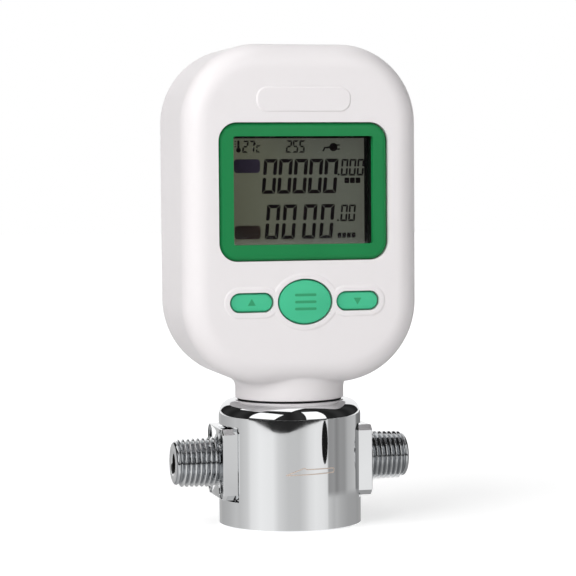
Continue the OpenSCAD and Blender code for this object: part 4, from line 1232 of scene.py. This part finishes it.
def nipple(sign):
    """Threaded nipple with a chamfered land and the gas bore, as one closed loft along X."""
    g, sides = group("body"), 96
    t = full_turn(sides)
    start, end, inside = TIP_X - THREAD_LENGTH, TIP_X - THREAD_LAND, TIP_X - NIPPLE_LENGTH
    shank, neck = 5.5 * MM, 5.6 * MM
    bore, bore_edge, counterbore = g.bore_radius, 0.35 * MM, 0.2 * MM
    root = g.thread_radius - g.thread_depth + 0.02 * MM

    def ring(x, r):
        return np.stack([np.full(sides, x), r * np.cos(t), r * np.sin(t) + PORT_Z], -1)

    back = [ring(inside, shank), ring(start - 4 * MM, shank), ring(start - 1.2 * MM, neck)]
    # The land's rounded section: distance behind the tip and height over the thread's root (mm)
    land = [ring(end + 0.1 * MM, root + 0.32 * MM)]
    land += [ring(TIP_X - behind * MM, root + over * MM)
             for behind, over in ((0.62, 0.45), (0.3, 0.3), (0.08, 0), (0, -0.2))]
    mouth = [ring(TIP_X, bore + bore_edge), ring(TIP_X - bore_edge, bore),
             ring(TIP_X - 2 * bore_edge, bore + counterbore), ring(inside, bore + counterbore)]
    rings = np.concatenate([back, thread_wall(start, end, sides), land, mouth])
    rings[..., 0] *= sign
    return loft(rings, closed=True)


def flange_outline(inset=0.0):
    """Outline (y, z) of the flange: a square with its corners cut off, as four turns of one corner."""
    g = group("body")
    half, cut = g.flange_side / 2 - inset, g.flange_chamfer - inset * 0.4
    corner = np.array([(half, half - cut), (half - cut, half)])
    quarter = np.array([[0, -1], [1, 0]])
    return np.concatenate([corner @ np.linalg.matrix_power(quarter, i).T for i in range(4)])


def hex_ring(apothem, height, sides):
    """Ring round a hexagon: r = apothem / cos of the angle from the nearest flat's middle."""
    t = full_turn(sides)
    r = apothem / np.cos((t + np.pi / 6) % (np.pi / 3) - np.pi / 6)
    return np.stack([r * np.cos(t), r * np.sin(t), np.full(sides, height)], -1)


def cap_screw():
    """A cap screw along Z from under its head, with a rounded rim and a six sided socket."""
    radius, tall, rim, seat_edge = 2.75 * MM, 3.0 * MM, 0.3 * MM, 0.1 * MM
    shaft, reach = 1.5 * MM, 6.9 * MM
    socket, deep, chamfer, cone = 1.25 * MM, 1.4 * MM, 0.12 * MM, 0.25 * MM
    sides = 48
    profile = [(shaft, -reach), (shaft, 0), (radius - seat_edge, 0), (radius, seat_edge)]
    profile += arc((radius - rim, tall - rim), rim, 0, 90, 4).tolist()
    t = full_turn(sides)
    rings = [np.stack([r * np.cos(t), r * np.sin(t), np.full(sides, h)], -1) for r, h in profile]
    rings += [hex_ring(socket + chamfer, tall, sides), hex_ring(socket, tall - chamfer, sides),
              hex_ring(socket, tall - deep, sides), hex_ring(socket * 0.3, tall - deep - cone, sides)]
    return loft(rings)


class METER_OT_fittings(bpy.types.Operator):
    """Flanges with threaded nipples, their cap screws and their seals"""

    bl_idname = "meter.fittings"
    bl_label = "Fittings"

    def execute(self, context):
        for sign, node in ((1, "inlet_fitting"), (-1, "outlet_fitting")):
            self.flange(sign, node)
            piece = new_object(node + "_nipple", [nipple(sign)])
            dress(piece, plated_thread, "base", smooth=60, replaces=[node])
            self.gas_way(sign, node)
        self.screws()
        carry({"fitting_seals": nitrile})
        return {"FINISHED"}

    def flange(self, sign, node):
        """A flange with chamfered rims, four screw recesses and a hole for its nipple."""
        g = group("body")
        near, far, edge = g.seat, g.seat + g.flange_thick, 0.22 * MM
        recess, hole = 2.9 * MM, 5.45 * MM
        rings = [(near, edge), (near + edge, 0.0), (far - edge, 0.0), (far, edge)]
        piece = new_object(node + "_flange", [loft([
            ring_x(flange_outline(inset), sign * x, (0, PORT_Z)) for x, inset in rings])])
        x0, x1 = sorted((sign * (far - SCREW_SINK), sign * (far + 5 * MM)))
        holes = [revolve([(recess, x0), (recess, x1)], "X", (a + b) / 2 * (0, 1, 1), steps=40)
                 for a, b in islands("flange_screws") if sign * a[0] > 0]
        x0, x1 = sorted((sign * (near - MM), sign * (far + MM)))
        holes.append(revolve([(hole, x0), (hole, x1)], "X", (0, 0, PORT_Z), steps=64))
        combine(piece, holes, "DIFFERENCE")
        soften(piece, 0.12 * MM)
        dress(piece, nickel_plate, "base", smooth=30)

    def gas_way(self, sign, node):
        """The unplated wall inside a nipple, dark as painted shade."""
        inner, outer = group("body").bore_radius, group("body").bore_radius + 0.3 * MM
        x0, x1 = sorted((sign * (TIP_X - NIPPLE_LENGTH), sign * (TIP_X - 0.35 * MM)))
        wall = revolve([(outer, x0), (outer, x1), (inner, x1), (inner, x0)], "X", (0, 0, PORT_Z), steps=64,
                       closed=True)
        dress(new_object(node + "_gas_way", [wall]), dull_bore_painted_shade, "base")

    def screws(self):
        """Eight cap screws in the corners of the flanges."""
        g, parts = group("body"), []
        for a, b in islands("flange_screws"):
            sign = 1 if a[0] > 0 else -1
            seat = Vector((a + b) / 2)
            seat.x = sign * (g.seat + g.flange_thick - SCREW_SINK)
            turn = Matrix.Rotation(sign * math.pi / 2, 3, "Y")
            parts.append(moved(cap_screw(), turn, seat))
        dress(new_object("flange_cap_screws", parts), turned_steel, "base",
              replaces=["flange_screws"])


# Back of the head and what is inside

class METER_OT_case_screws(bpy.types.Operator):
    """Four screws that close the case, with round heads and cross recesses"""

    bl_idname = "meter.case_screws"
    bl_label = "Case screws"

    def execute(self, context):
        radius, tall, rim, shaft, point = 2.6 * MM, 2.2 * MM, 0.8 * MM, 1.5 * MM, 0.5 * MM
        slot_long, slot_wide, slot_deep = 3 * MM, 0.62 * MM, 1.1 * MM
        tip, seat = low("shell_screws")[1], high("shell_screws")[1] - tall
        profile = [(point, tip - seat), (shaft, tip - seat + MM), (shaft, 0), (radius, 0), (radius, rim)]
        profile += [(radius * math.cos(a), rim + (tall - rim) * math.sin(a))
                    for a in np.linspace(0, math.pi / 2, 7)[1:-1]]
        profile += [(0.3 * MM, tall)]
        turn = Matrix.Rotation(-math.pi / 2, 3, "X")
        places = screw_places("shell_screws")
        screws = new_object("case_screw_heads", [
            moved(revolve(profile, steps=48), turn, (x, seat, z)) for x, z in places])
        for w, t in ((slot_long, slot_wide), (slot_wide, slot_long)):
            slots = [box((x - w / 2, seat + tall - slot_deep, z - t / 2),
                         (x + w / 2, seat + tall + MM, z + t / 2)) for x, z in places]
            combine(screws, slots, "DIFFERENCE")
        dress(screws, turned_steel, "head", smooth=30, replaces=["shell_screws"])
        return {"FINISHED"}


class METER_OT_battery_door(bpy.types.Operator):
    """Door of the battery bay with its knuckle, pins and grip grooves"""

    bl_idname = "meter.battery_door"
    bl_label = "Battery door"

    def execute(self, context):
        a, b = low("battery_door"), high("battery_door")
        pin_long, pin_r, pin_in, pin_edge = 1.6 * MM, 0.7 * MM, 0.3 * MM, 0.2 * MM
        x0, x1 = a[0] + pin_long, b[0] - pin_long
        half = (b[1] - a[1]) / 2
        axis_y, axis_z = a[1] + half, b[2] - half
        knuckle = arc((axis_y, axis_z), half, 0, 180, 16).tolist()
        outline = np.array([(a[1], a[2]), (b[1], a[2]), *knuckle])
        door = new_object("battery_door_panel", [loft([ring_x(outline, x) for x in (x0, x1)])])
        groove, reach, first, pitch = 0.4 * MM, 9 * MM, 6 * MM, 2.2 * MM
        grooves = [revolve([(groove, -reach), (groove, reach)], "X", (0, b[1], a[2] + first + i * pitch),
                           steps=24) for i in range(5)]
        combine(door, grooves, "DIFFERENCE")
        soften(door, SHELL_BREAK)
        pins = [[(pin_r * 0.8, a[0]), (pin_r, a[0] + pin_edge), (pin_r, x0 + pin_in)],
                [(pin_r, x1 - pin_in), (pin_r, b[0] - pin_edge), (pin_r * 0.8, b[0])]]
        pins = [revolve(pin, "X", (0, axis_y, axis_z), steps=32) for pin in pins]
        join(door, new_object("door_pins", pins))
        dress(door, white_abs, "battery_lid", smooth=30, replaces=["battery_door"])
        weigh(door)
        return {"FINISHED"}


class METER_OT_cells(bpy.types.Operator):
    """Cells with rolled ends and bare rims, and the coiled contacts behind them"""

    bl_idname = "meter.cells"
    bl_label = "Cells and springs"

    def execute(self, context):
        sleeves, ends = [], []
        for a, b in islands("battery_cells"):
            centre = ((a + b) / 2) * (0, 1, 1)
            flip = 1 if b[0] > -a[0] else -1
            x0, x1 = sorted((flip * a[0], flip * b[0]))
            skin, button, base = cell_profiles((b[2] - a[2]) / 2, x0, x1)
            sleeves.append(mirror_x(revolve(skin, "X", centre, steps=72), flip))
            ends += [mirror_x(revolve(profile, "X", centre, steps=48), flip) for profile in (button, base)]
        dress(new_object("cell_sleeves", sleeves), cell_sleeve, "head",
              smooth=40, replaces=["battery_cells"])
        dress(new_object("cell_ends", ends), turned_steel, "head", smooth=30)
        coils = [spring(a, b) for a, b in islands("contact_springs")]
        dress(new_object("contact_coils", coils), spring_wire, "head",
              smooth=60, replaces=["contact_springs"])
        carry({"contact_plates": spring_wire, "battery_holder": black_nylon, "battery_leads": wire_sleeve})
        return {"FINISHED"}


def cell_profiles(r, x0, x1):
    """Half sections (radius, x) of a cell's sleeve, of its button end and of its flat base."""
    button_tall, edge, lap = MM, 0.6 * MM, 0.05 * MM
    nub, nub_tall, axis = 2.75 * MM, 0.85 * MM, 0.2 * MM
    rim, rim_proud, base_rim = 2.4 * MM, 0.06 * MM, 1.5 * MM
    shoulder = x1 - button_tall
    turn = np.linspace(0, math.pi / 2, 6)[1:]
    skin = [(r - edge, x0 + lap)]
    skin += [(r - edge + edge * math.sin(s), x0 + edge * (1 - math.cos(s)) + lap) for s in turn]
    skin += [(r, shoulder - edge)]
    skin += [(r - edge * (1 - math.cos(s)), shoulder - edge + edge * math.sin(s)) for s in turn]
    button = [(r - rim, shoulder - 0.2 * MM), (r - rim, shoulder + rim_proud),
              (nub + 0.3 * MM, shoulder + rim_proud), (nub, shoulder + 0.3 * MM),
              (nub, shoulder + nub_tall), (nub - 0.2 * MM, shoulder + button_tall),
              (axis, shoulder + button_tall)]
    base = [(r - base_rim, x0 + 0.3 * MM), (r - base_rim, x0), (axis, x0)]
    return skin, button, base


def mirror_x(part, flip):
    """A part as it is, or mirrored in X."""
    points, faces = part
    return points * (flip, 1, 1), faces


def spring(a, b):
    """Tapered coil: x = x0 + l s, r = r0 + (r1 - r0) s, t = 2 pi n s, with flat end turns."""
    wire, turns, narrow_end = 0.3 * MM, 5, 2.4 * MM
    end_turn = 0.12
    centre = (a + b) / 2
    s = np.linspace(0, 1, turns * 20 + 1)
    rise = np.clip((s - end_turn) / (1 - 2 * end_turn), 0, 1)
    wide, narrow = (b[2] - a[2]) / 2 - wire, narrow_end - wire
    x0, x1 = (a[0] + wire, b[0] - wire) if centre[0] < 0 else (b[0] - wire, a[0] + wire)
    r = wide + (narrow - wide) * rise
    t = 2 * np.pi * turns * s
    path = np.stack([x0 + (x1 - x0) * rise, r * np.cos(t), r * np.sin(t)], -1)
    return tube(path + centre * (0, 1, 1), wire, 8)


class METER_OT_inner_parts(bpy.types.Operator):
    """Finishes of the boards, seals, swivel, sensor and jack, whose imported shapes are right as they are"""

    bl_idname = "meter.inner_parts"
    bl_label = "Inner parts"

    def execute(self, context):
        carry({
            "neck_seal": nitrile, "shell_gasket": nitrile, "sensor_seal": nitrile,
            "flow_screens": turned_steel, "screen_spacers": turned_steel, "spigot_screws": turned_steel,
            "swivel_nut": turned_steel, "board_screws": turned_steel, "jack_nut": turned_steel,
            "swivel_spigot": grey_acetal, "sensor_carrier": grey_acetal,
            "sensor_blade": solder_mask, "sensor_board": solder_mask, "main_board": solder_mask,
            "sensor_socket": cream_nylon, "cable_plug": cream_nylon, "sensor_cable": cable_jacket,
            "board_chips": chip_compound, "key_switches": chip_compound, "power_jack": black_nylon,
            "jack_leads": wire_sleeve})
        return {"FINISHED"}


# Stage. Places are given to the camera's right, towards the camera and up from the base, in metres.

# Lamps: place, width and height in metres, and power in watts
LAMPS = {
    "lamp_left": ((-0.64, 0.71, 0.5), (0.85, 0.9), 7.45),
    "lamp_right": ((0.52, 1.02, 0.72), (0.8, 1.4), 4.5),
    "lamp_low": ((0.3, 0.97, 0.13), (1.2, 0.22), 1.05),
    "lamp_top": ((-0.44, 0.08, 1.07), (1.3, 0.4), 3.1),
}
# White faces of the lamps, as the plating shows them: two lower and two upper corners, or near and far
SOFTBOXES = {
    "left_face": ((-2.19, 0.9, 0.37), (-0.96, 2.18, 0.2), (-1.43, 0.8, 1.79), (-0.34, 1.82, 1.56)),
    "right_face": ((1.08, 2.12, 0.16), (2.1, 1.16, 0.16), (0.6, 1.14, 2.05), (1.32, 0.72, 1.9)),
    "top_face": ((-0.94, 0.05, 1.03), (0.05, 0.53, 1.03), (-1.15, -0.45, 1.03), (0.3, -0.3, 1.03)),
}
SOFTBOX_TONE = 1.35


def turned(side, front, up):
    """Point whose place is given to the camera's right, towards the camera and up from the base."""
    turn = group("stage").turn
    x = side * math.cos(turn) - front * math.sin(turn)
    y = -side * math.sin(turn) - front * math.cos(turn)
    return np.stack([x, y, up * np.ones_like(x)], -1)


def area_lamp(name, where, size, power):
    """A rectangular soft lamp that faces the object, and which only diffuse light shows."""
    lamp = bpy.data.lights.new(name, "AREA")
    lamp.shape, lamp.size, lamp.size_y, lamp.energy = "RECTANGLE", size[0], size[1], power
    thing = linked(name, lamp)
    thing.location = turned(*where)
    aim = Vector((0, 0, 0.07))
    thing.rotation_euler = (aim - thing.location).to_track_quat("-Z", "Y").to_euler()
    thing.visible_glossy = thing.visible_transmission = False


def reflected_card(name, grid, tones):
    """A sheet of a grid of points that only reflections show, with a grey tone at each point."""
    points, faces = loft_open(grid)
    mesh = bpy.data.meshes.new(name)
    mesh.from_pydata(points, [], faces)
    tone = mesh.attributes.new("tone", "FLOAT", "POINT")
    tone.data.foreach_set("value", (tones * np.ones(grid.shape[:2])).ravel())
    material = bpy.data.materials.new(name + "_cloth")
    tree = bare_tree(material)
    grey = add_node(tree, "ShaderNodeAttribute", {"attribute_name": "tone"})
    shine = add_node(tree, "ShaderNodeEmission", {}, {"Color": grey.outputs["Fac"], "Strength": 1.0})
    add_node(tree, "ShaderNodeOutputMaterial", {}, {"Surface": shine.outputs[0]})
    mesh.materials.append(material)
    thing = linked(name, mesh)
    for kind in ("camera", "shadow", "diffuse", "volume_scatter"):
        setattr(thing, "visible_" + kind, False)


def floor_seen(u, z, above):
    """Floor points that the round wall reflects at places u across it, as shares of its radius, and z up it.

    The place u lies at the angle a = asin(u) from the camera. A ray that meets it at the height z falls
    by (eye - z) / span, goes on in the direction 2a + atan(R u / span), and meets the floor z / fall away.
    """
    s = group("stage")
    a = np.arcsin(u)
    span = s.distance * math.cos(s.pitch) - BODY_R * np.cos(a)
    away = z * span / (s.aim_height + s.distance * math.sin(s.pitch) - z)
    way = 2 * a + np.arctan(BODY_R * u / span) - s.turn
    return np.stack([BODY_R * np.sin(a - s.turn) + away * np.sin(way),
                     -BODY_R * np.cos(a - s.turn) - away * np.cos(way), above * np.ones_like(z)], -1)


def seen_plainly(tree):
    """Socket that is 1 for rays from the camera, a mirror or a glass, as the most of the three."""
    path = add_node(tree, "ShaderNodeLightPath")
    seen = add_node(tree, "ShaderNodeMath", {"operation": "MAXIMUM"}, {
        0: path.outputs["Is Camera Ray"], 1: path.outputs["Is Glossy Ray"]})
    return add_node(tree, "ShaderNodeMath", {"operation": "MAXIMUM"}, {
        0: seen.outputs[0], 1: path.outputs["Is Transmission Ray"]}).outputs[0]


def sweep_material():
    """White paper sweep: as pale as the background for the camera, and it keeps the shadow."""
    material = bpy.data.materials.new("white_paper_sweep")
    tree = bare_tree(material)
    paper = add_node(tree, "ShaderNodeBsdfPrincipled", {}, {
        "Base Color": srgb(group("colours").backdrop), "Roughness": 0.9, "Specular IOR Level": 0.0})
    mottle(tree, paper, "Roughness", 20 * MM, 0.85, 0.95)
    # The glow makes up for the lamps' fall with distance
    away = add_node(tree, "ShaderNodeVectorMath", {"operation": "LENGTH"}, {0: place(tree)})
    glow = add_node(tree, "ShaderNodeMapRange", {}, {
        0: away.outputs["Value"], 1: 0.05, 2: 0.6, 3: 0.5, 4: 1.0})
    shine = add_node(tree, "ShaderNodeEmission", {}, {"Color": srgb("#FFFFFF"), "Strength": glow.outputs[0]})
    both = add_node(tree, "ShaderNodeAddShader", {}, {0: paper.outputs[0], 1: shine.outputs[0]})
    mix = add_node(tree, "ShaderNodeMixShader", {}, {
        0: seen_plainly(tree), 1: paper.outputs[0], 2: both.outputs[0]})
    add_node(tree, "ShaderNodeOutputMaterial", {}, {"Surface": mix.outputs[0]})
    return material


class METER_OT_stage(bpy.types.Operator):
    """Pale floor, soft lamps, reflector cards and the camera"""

    bl_idname = "meter.stage"
    bl_label = "Stage"

    def execute(self, context):
        self.camera()
        self.floor()
        for name, (where, size, power) in LAMPS.items():
            area_lamp(name, where, size, power)
        self.softboxes()
        self.room()
        self.table()
        self.world()
        context.scene.view_settings.view_transform = "Standard"
        return {"FINISHED"}

    def camera(self):
        """Camera at yaw, pitch and roll round the aim point: back = b0 cos p + Z sin p."""
        s, z = group("stage"), Vector((0, 0, 1))
        right = Vector((math.cos(s.turn), -math.sin(s.turn), 0))
        level = Vector((-math.sin(s.turn), -math.cos(s.turn), 0))
        back = level * math.cos(s.pitch) + z * math.sin(s.pitch)
        up = z * math.cos(s.pitch) - level * math.sin(s.pitch)
        rolled = (right * math.cos(s.roll) + up * math.sin(s.roll),
                  up * math.cos(s.roll) - right * math.sin(s.roll), back)
        camera = linked("camera", bpy.data.cameras.new("camera"))
        camera.data.lens, camera.data.sensor_width = s.lens, 36
        camera.data.clip_start, camera.data.clip_end = 0.05, 20
        eye = z * s.aim_height + right * s.aim_side + back * s.distance
        camera.matrix_world = Matrix.Translation(eye) @ Matrix(rolled).transposed().to_4x4()
        bpy.context.scene.camera = camera

    def floor(self):
        """Floor under the base, as a disc of 3 m radius."""
        reach, sides = 3.0, 96
        t = full_turn(sides)
        mesh = bpy.data.meshes.new("floor")
        mesh.from_pydata(np.stack([reach * np.cos(t), reach * np.sin(t), 0 * t], -1), [], [range(sides)])
        mesh.materials.append(sweep_material())
        linked("floor", mesh)

    def softboxes(self):
        """The lamps' white faces: (a(1-t) + b t)(1-s) + (c(1-t) + d t) s between four corners."""
        share = np.linspace(0, 1, 9)
        s, t = share[:, None, None], share[None, :, None]
        for name, corners in SOFTBOXES.items():
            a, b, c, d = (turned(*corner) for corner in corners)
            grid = (a * (1 - t) + b * t) * (1 - s) + (c * (1 - t) + d * t) * s
            reflected_card(name, grid, SOFTBOX_TONE)

    def room(self):
        """Dark room behind the lamps: a dome from just below the horizon, open behind the object.

        Its lower rim, at an angle of -2 degrees in front, lifts by 6 degrees from the sides backwards.
        """
        reach, dark, folds = 2.5, 0.018, 0.02
        rim, lift, zenith = -2, 6, 86
        side = np.linspace(-150, 150, 61)
        lower = rim + lift * np.clip((np.abs(side) - 90) / 50, 0, 1)
        rise = lower + (zenith - lower) * np.linspace(0, 1, 13)[:, None]
        a, e = np.radians(side), np.radians(rise)
        grid = turned(reach * np.cos(e) * np.sin(a), reach * np.cos(e) * np.cos(a), reach * np.sin(e))
        reflected_card("dark_room", grid, dark + folds * np.sin(5 * a) ** 2)

    def table(self):
        """Tones of the table top and of a dark post, as the round wall of the body reflects them.

        A place u across the wall is a share of its radius. The table's far edge shows on the wall at the
        height "edge", between its ends at u = -0.56 and 0.508, and past it the room is dark. Its tones
        differ above and below a seam in the table.
        """
        left_end, right_end, room_tone, post_tone = -0.56, 0.508, 0.025, 0.012
        seam_height, seam_blur = 8.6 * MM, 1.6 * MM
        u = np.concatenate([np.linspace(-0.985, left_end, 60), np.linspace(-0.55, 0.5, 180),
                            np.linspace(0.505, 0.985, 120)])
        edge = np.interp(u, [left_end, -0.47, -0.22, -0.13, -0.01, 0.23, 0.505, 0.51],
                         [30.7, 30.1, 27.4, 27.0, 27.05, 29.0, 30.6, 31.2]) * MM
        just_past, beyond, head_low, head_mid = 0.02 * MM, 1.2 * MM, 40 * MM, 75 * MM
        past = [edge + just_past, edge + beyond, head_low + 0 * edge, head_mid + 0 * edge]
        z = np.concatenate([edge * np.linspace(0, 1, 40)[:, None], past])
        stops = [-1, -0.94, -0.84, -0.74, -0.69, -0.58, -0.53, -0.4, -0.23, -0.15, -0.02, 0.13, 0.2, 0.27,
                 0.35, 0.46, 0.51, 0.53, 0.6, 0.64, 0.69, 0.75, 0.8, 0.9, 0.93, 1]
        both = [0.6, 0.46, 0.52, 0.62, 0.6, 0.72, 0.9, 1.02, 0.97, 0.77, 0.65, 0.64, 0.73, 0.87,
                0.95, 0.92, 0.85]
        above = np.interp(u, stops, both + [0.33, 0.36, 0.27, 0.35, 0.34, 0.5, 0.58, 0.2, 0.2])
        below = np.interp(u, stops, both + [0.66, 0.54, 0.57, 0.5, 0.45, 0.41, 0.39, 0.36, 0.4])
        share = np.clip((z - seam_height) / seam_blur, 0, 1)
        in_room = (z > edge) & (u > left_end) & (u < right_end)
        tone = np.where(in_room, room_tone, above * share + below * (1 - share))
        reflected_card("table_tones", floor_seen(u, z, 0.4 * MM), tone)
        post_u, post_z, half_u, half_z = 0.478, 23.9, 0.041, 6.1
        turn, out = np.linspace(0, 2 * np.pi, 40), np.linspace(0, 1, 4)[:, None]
        u, z = post_u + half_u * out * np.cos(turn), (post_z + half_z * out * np.sin(turn)) * MM
        reflected_card("dark_post", floor_seen(u, z, 0.8 * MM), post_tone)

    def world(self):
        """White for the camera and in reflections, a plain level for the light that falls on the object."""
        world = bpy.data.worlds.new("studio")
        bpy.context.scene.world = world
        tree = bare_tree(world)
        plain = add_node(tree, "ShaderNodeBackground", {}, {"Color": srgb("#FFFFFF"), "Strength": 0.2})
        white = add_node(tree, "ShaderNodeBackground", {}, {"Color": srgb("#FFFFFF"), "Strength": 1.0})
        mix = add_node(tree, "ShaderNodeMixShader", {}, {
            0: seen_plainly(tree), 1: plain.outputs[0], 2: white.outputs[0]})
        add_node(tree, "ShaderNodeOutputWorld", {}, {"Surface": mix.outputs[0]})


OPERATORS = [
    METER_OT_stage, METER_OT_front_shell, METER_OT_back_shell, METER_OT_bezel, METER_OT_display,
    METER_OT_keys, METER_OT_flow_body, METER_OT_fittings, METER_OT_case_screws,
    METER_OT_battery_door, METER_OT_cells, METER_OT_inner_parts,
]


class METER_PT_panel(bpy.types.Panel):
    """Sizes, colours and pieces of the flow meter"""

    bl_idname = "METER_PT_panel"
    bl_label = "Flow Meter"
    bl_space_type = "VIEW_3D"
    bl_region_type = "UI"
    bl_category = "Flow Meter"

    def draw(self, context):
        for name, sizes in GROUPS.items():
            column = self.layout.column(align=True)
            for key in sizes.__annotations__:
                column.prop(getattr(context.scene, name), key)
        for operator in OPERATORS:
            self.layout.operator(operator.bl_idname)


def register():
    """Registers the groups, the operators and the panel."""
    for name, sizes in GROUPS.items():
        bpy.utils.register_class(sizes)
        setattr(bpy.types.Scene, name, PointerProperty(type=sizes))
    for cls in OPERATORS + [METER_PT_panel]:
        bpy.utils.register_class(cls)


def unregister():
    """Takes the classes out again."""
    for cls in OPERATORS + [METER_PT_panel]:
        bpy.utils.unregister_class(cls)
    for name, sizes in GROUPS.items():
        delattr(bpy.types.Scene, name)
        bpy.utils.unregister_class(sizes)


def main():
    """Builds every piece in order."""
    register()
    for operator in OPERATORS:
        space, name = operator.bl_idname.split(".")
        getattr(getattr(bpy.ops, space), name)()


if __name__ == "__main__":
    main()
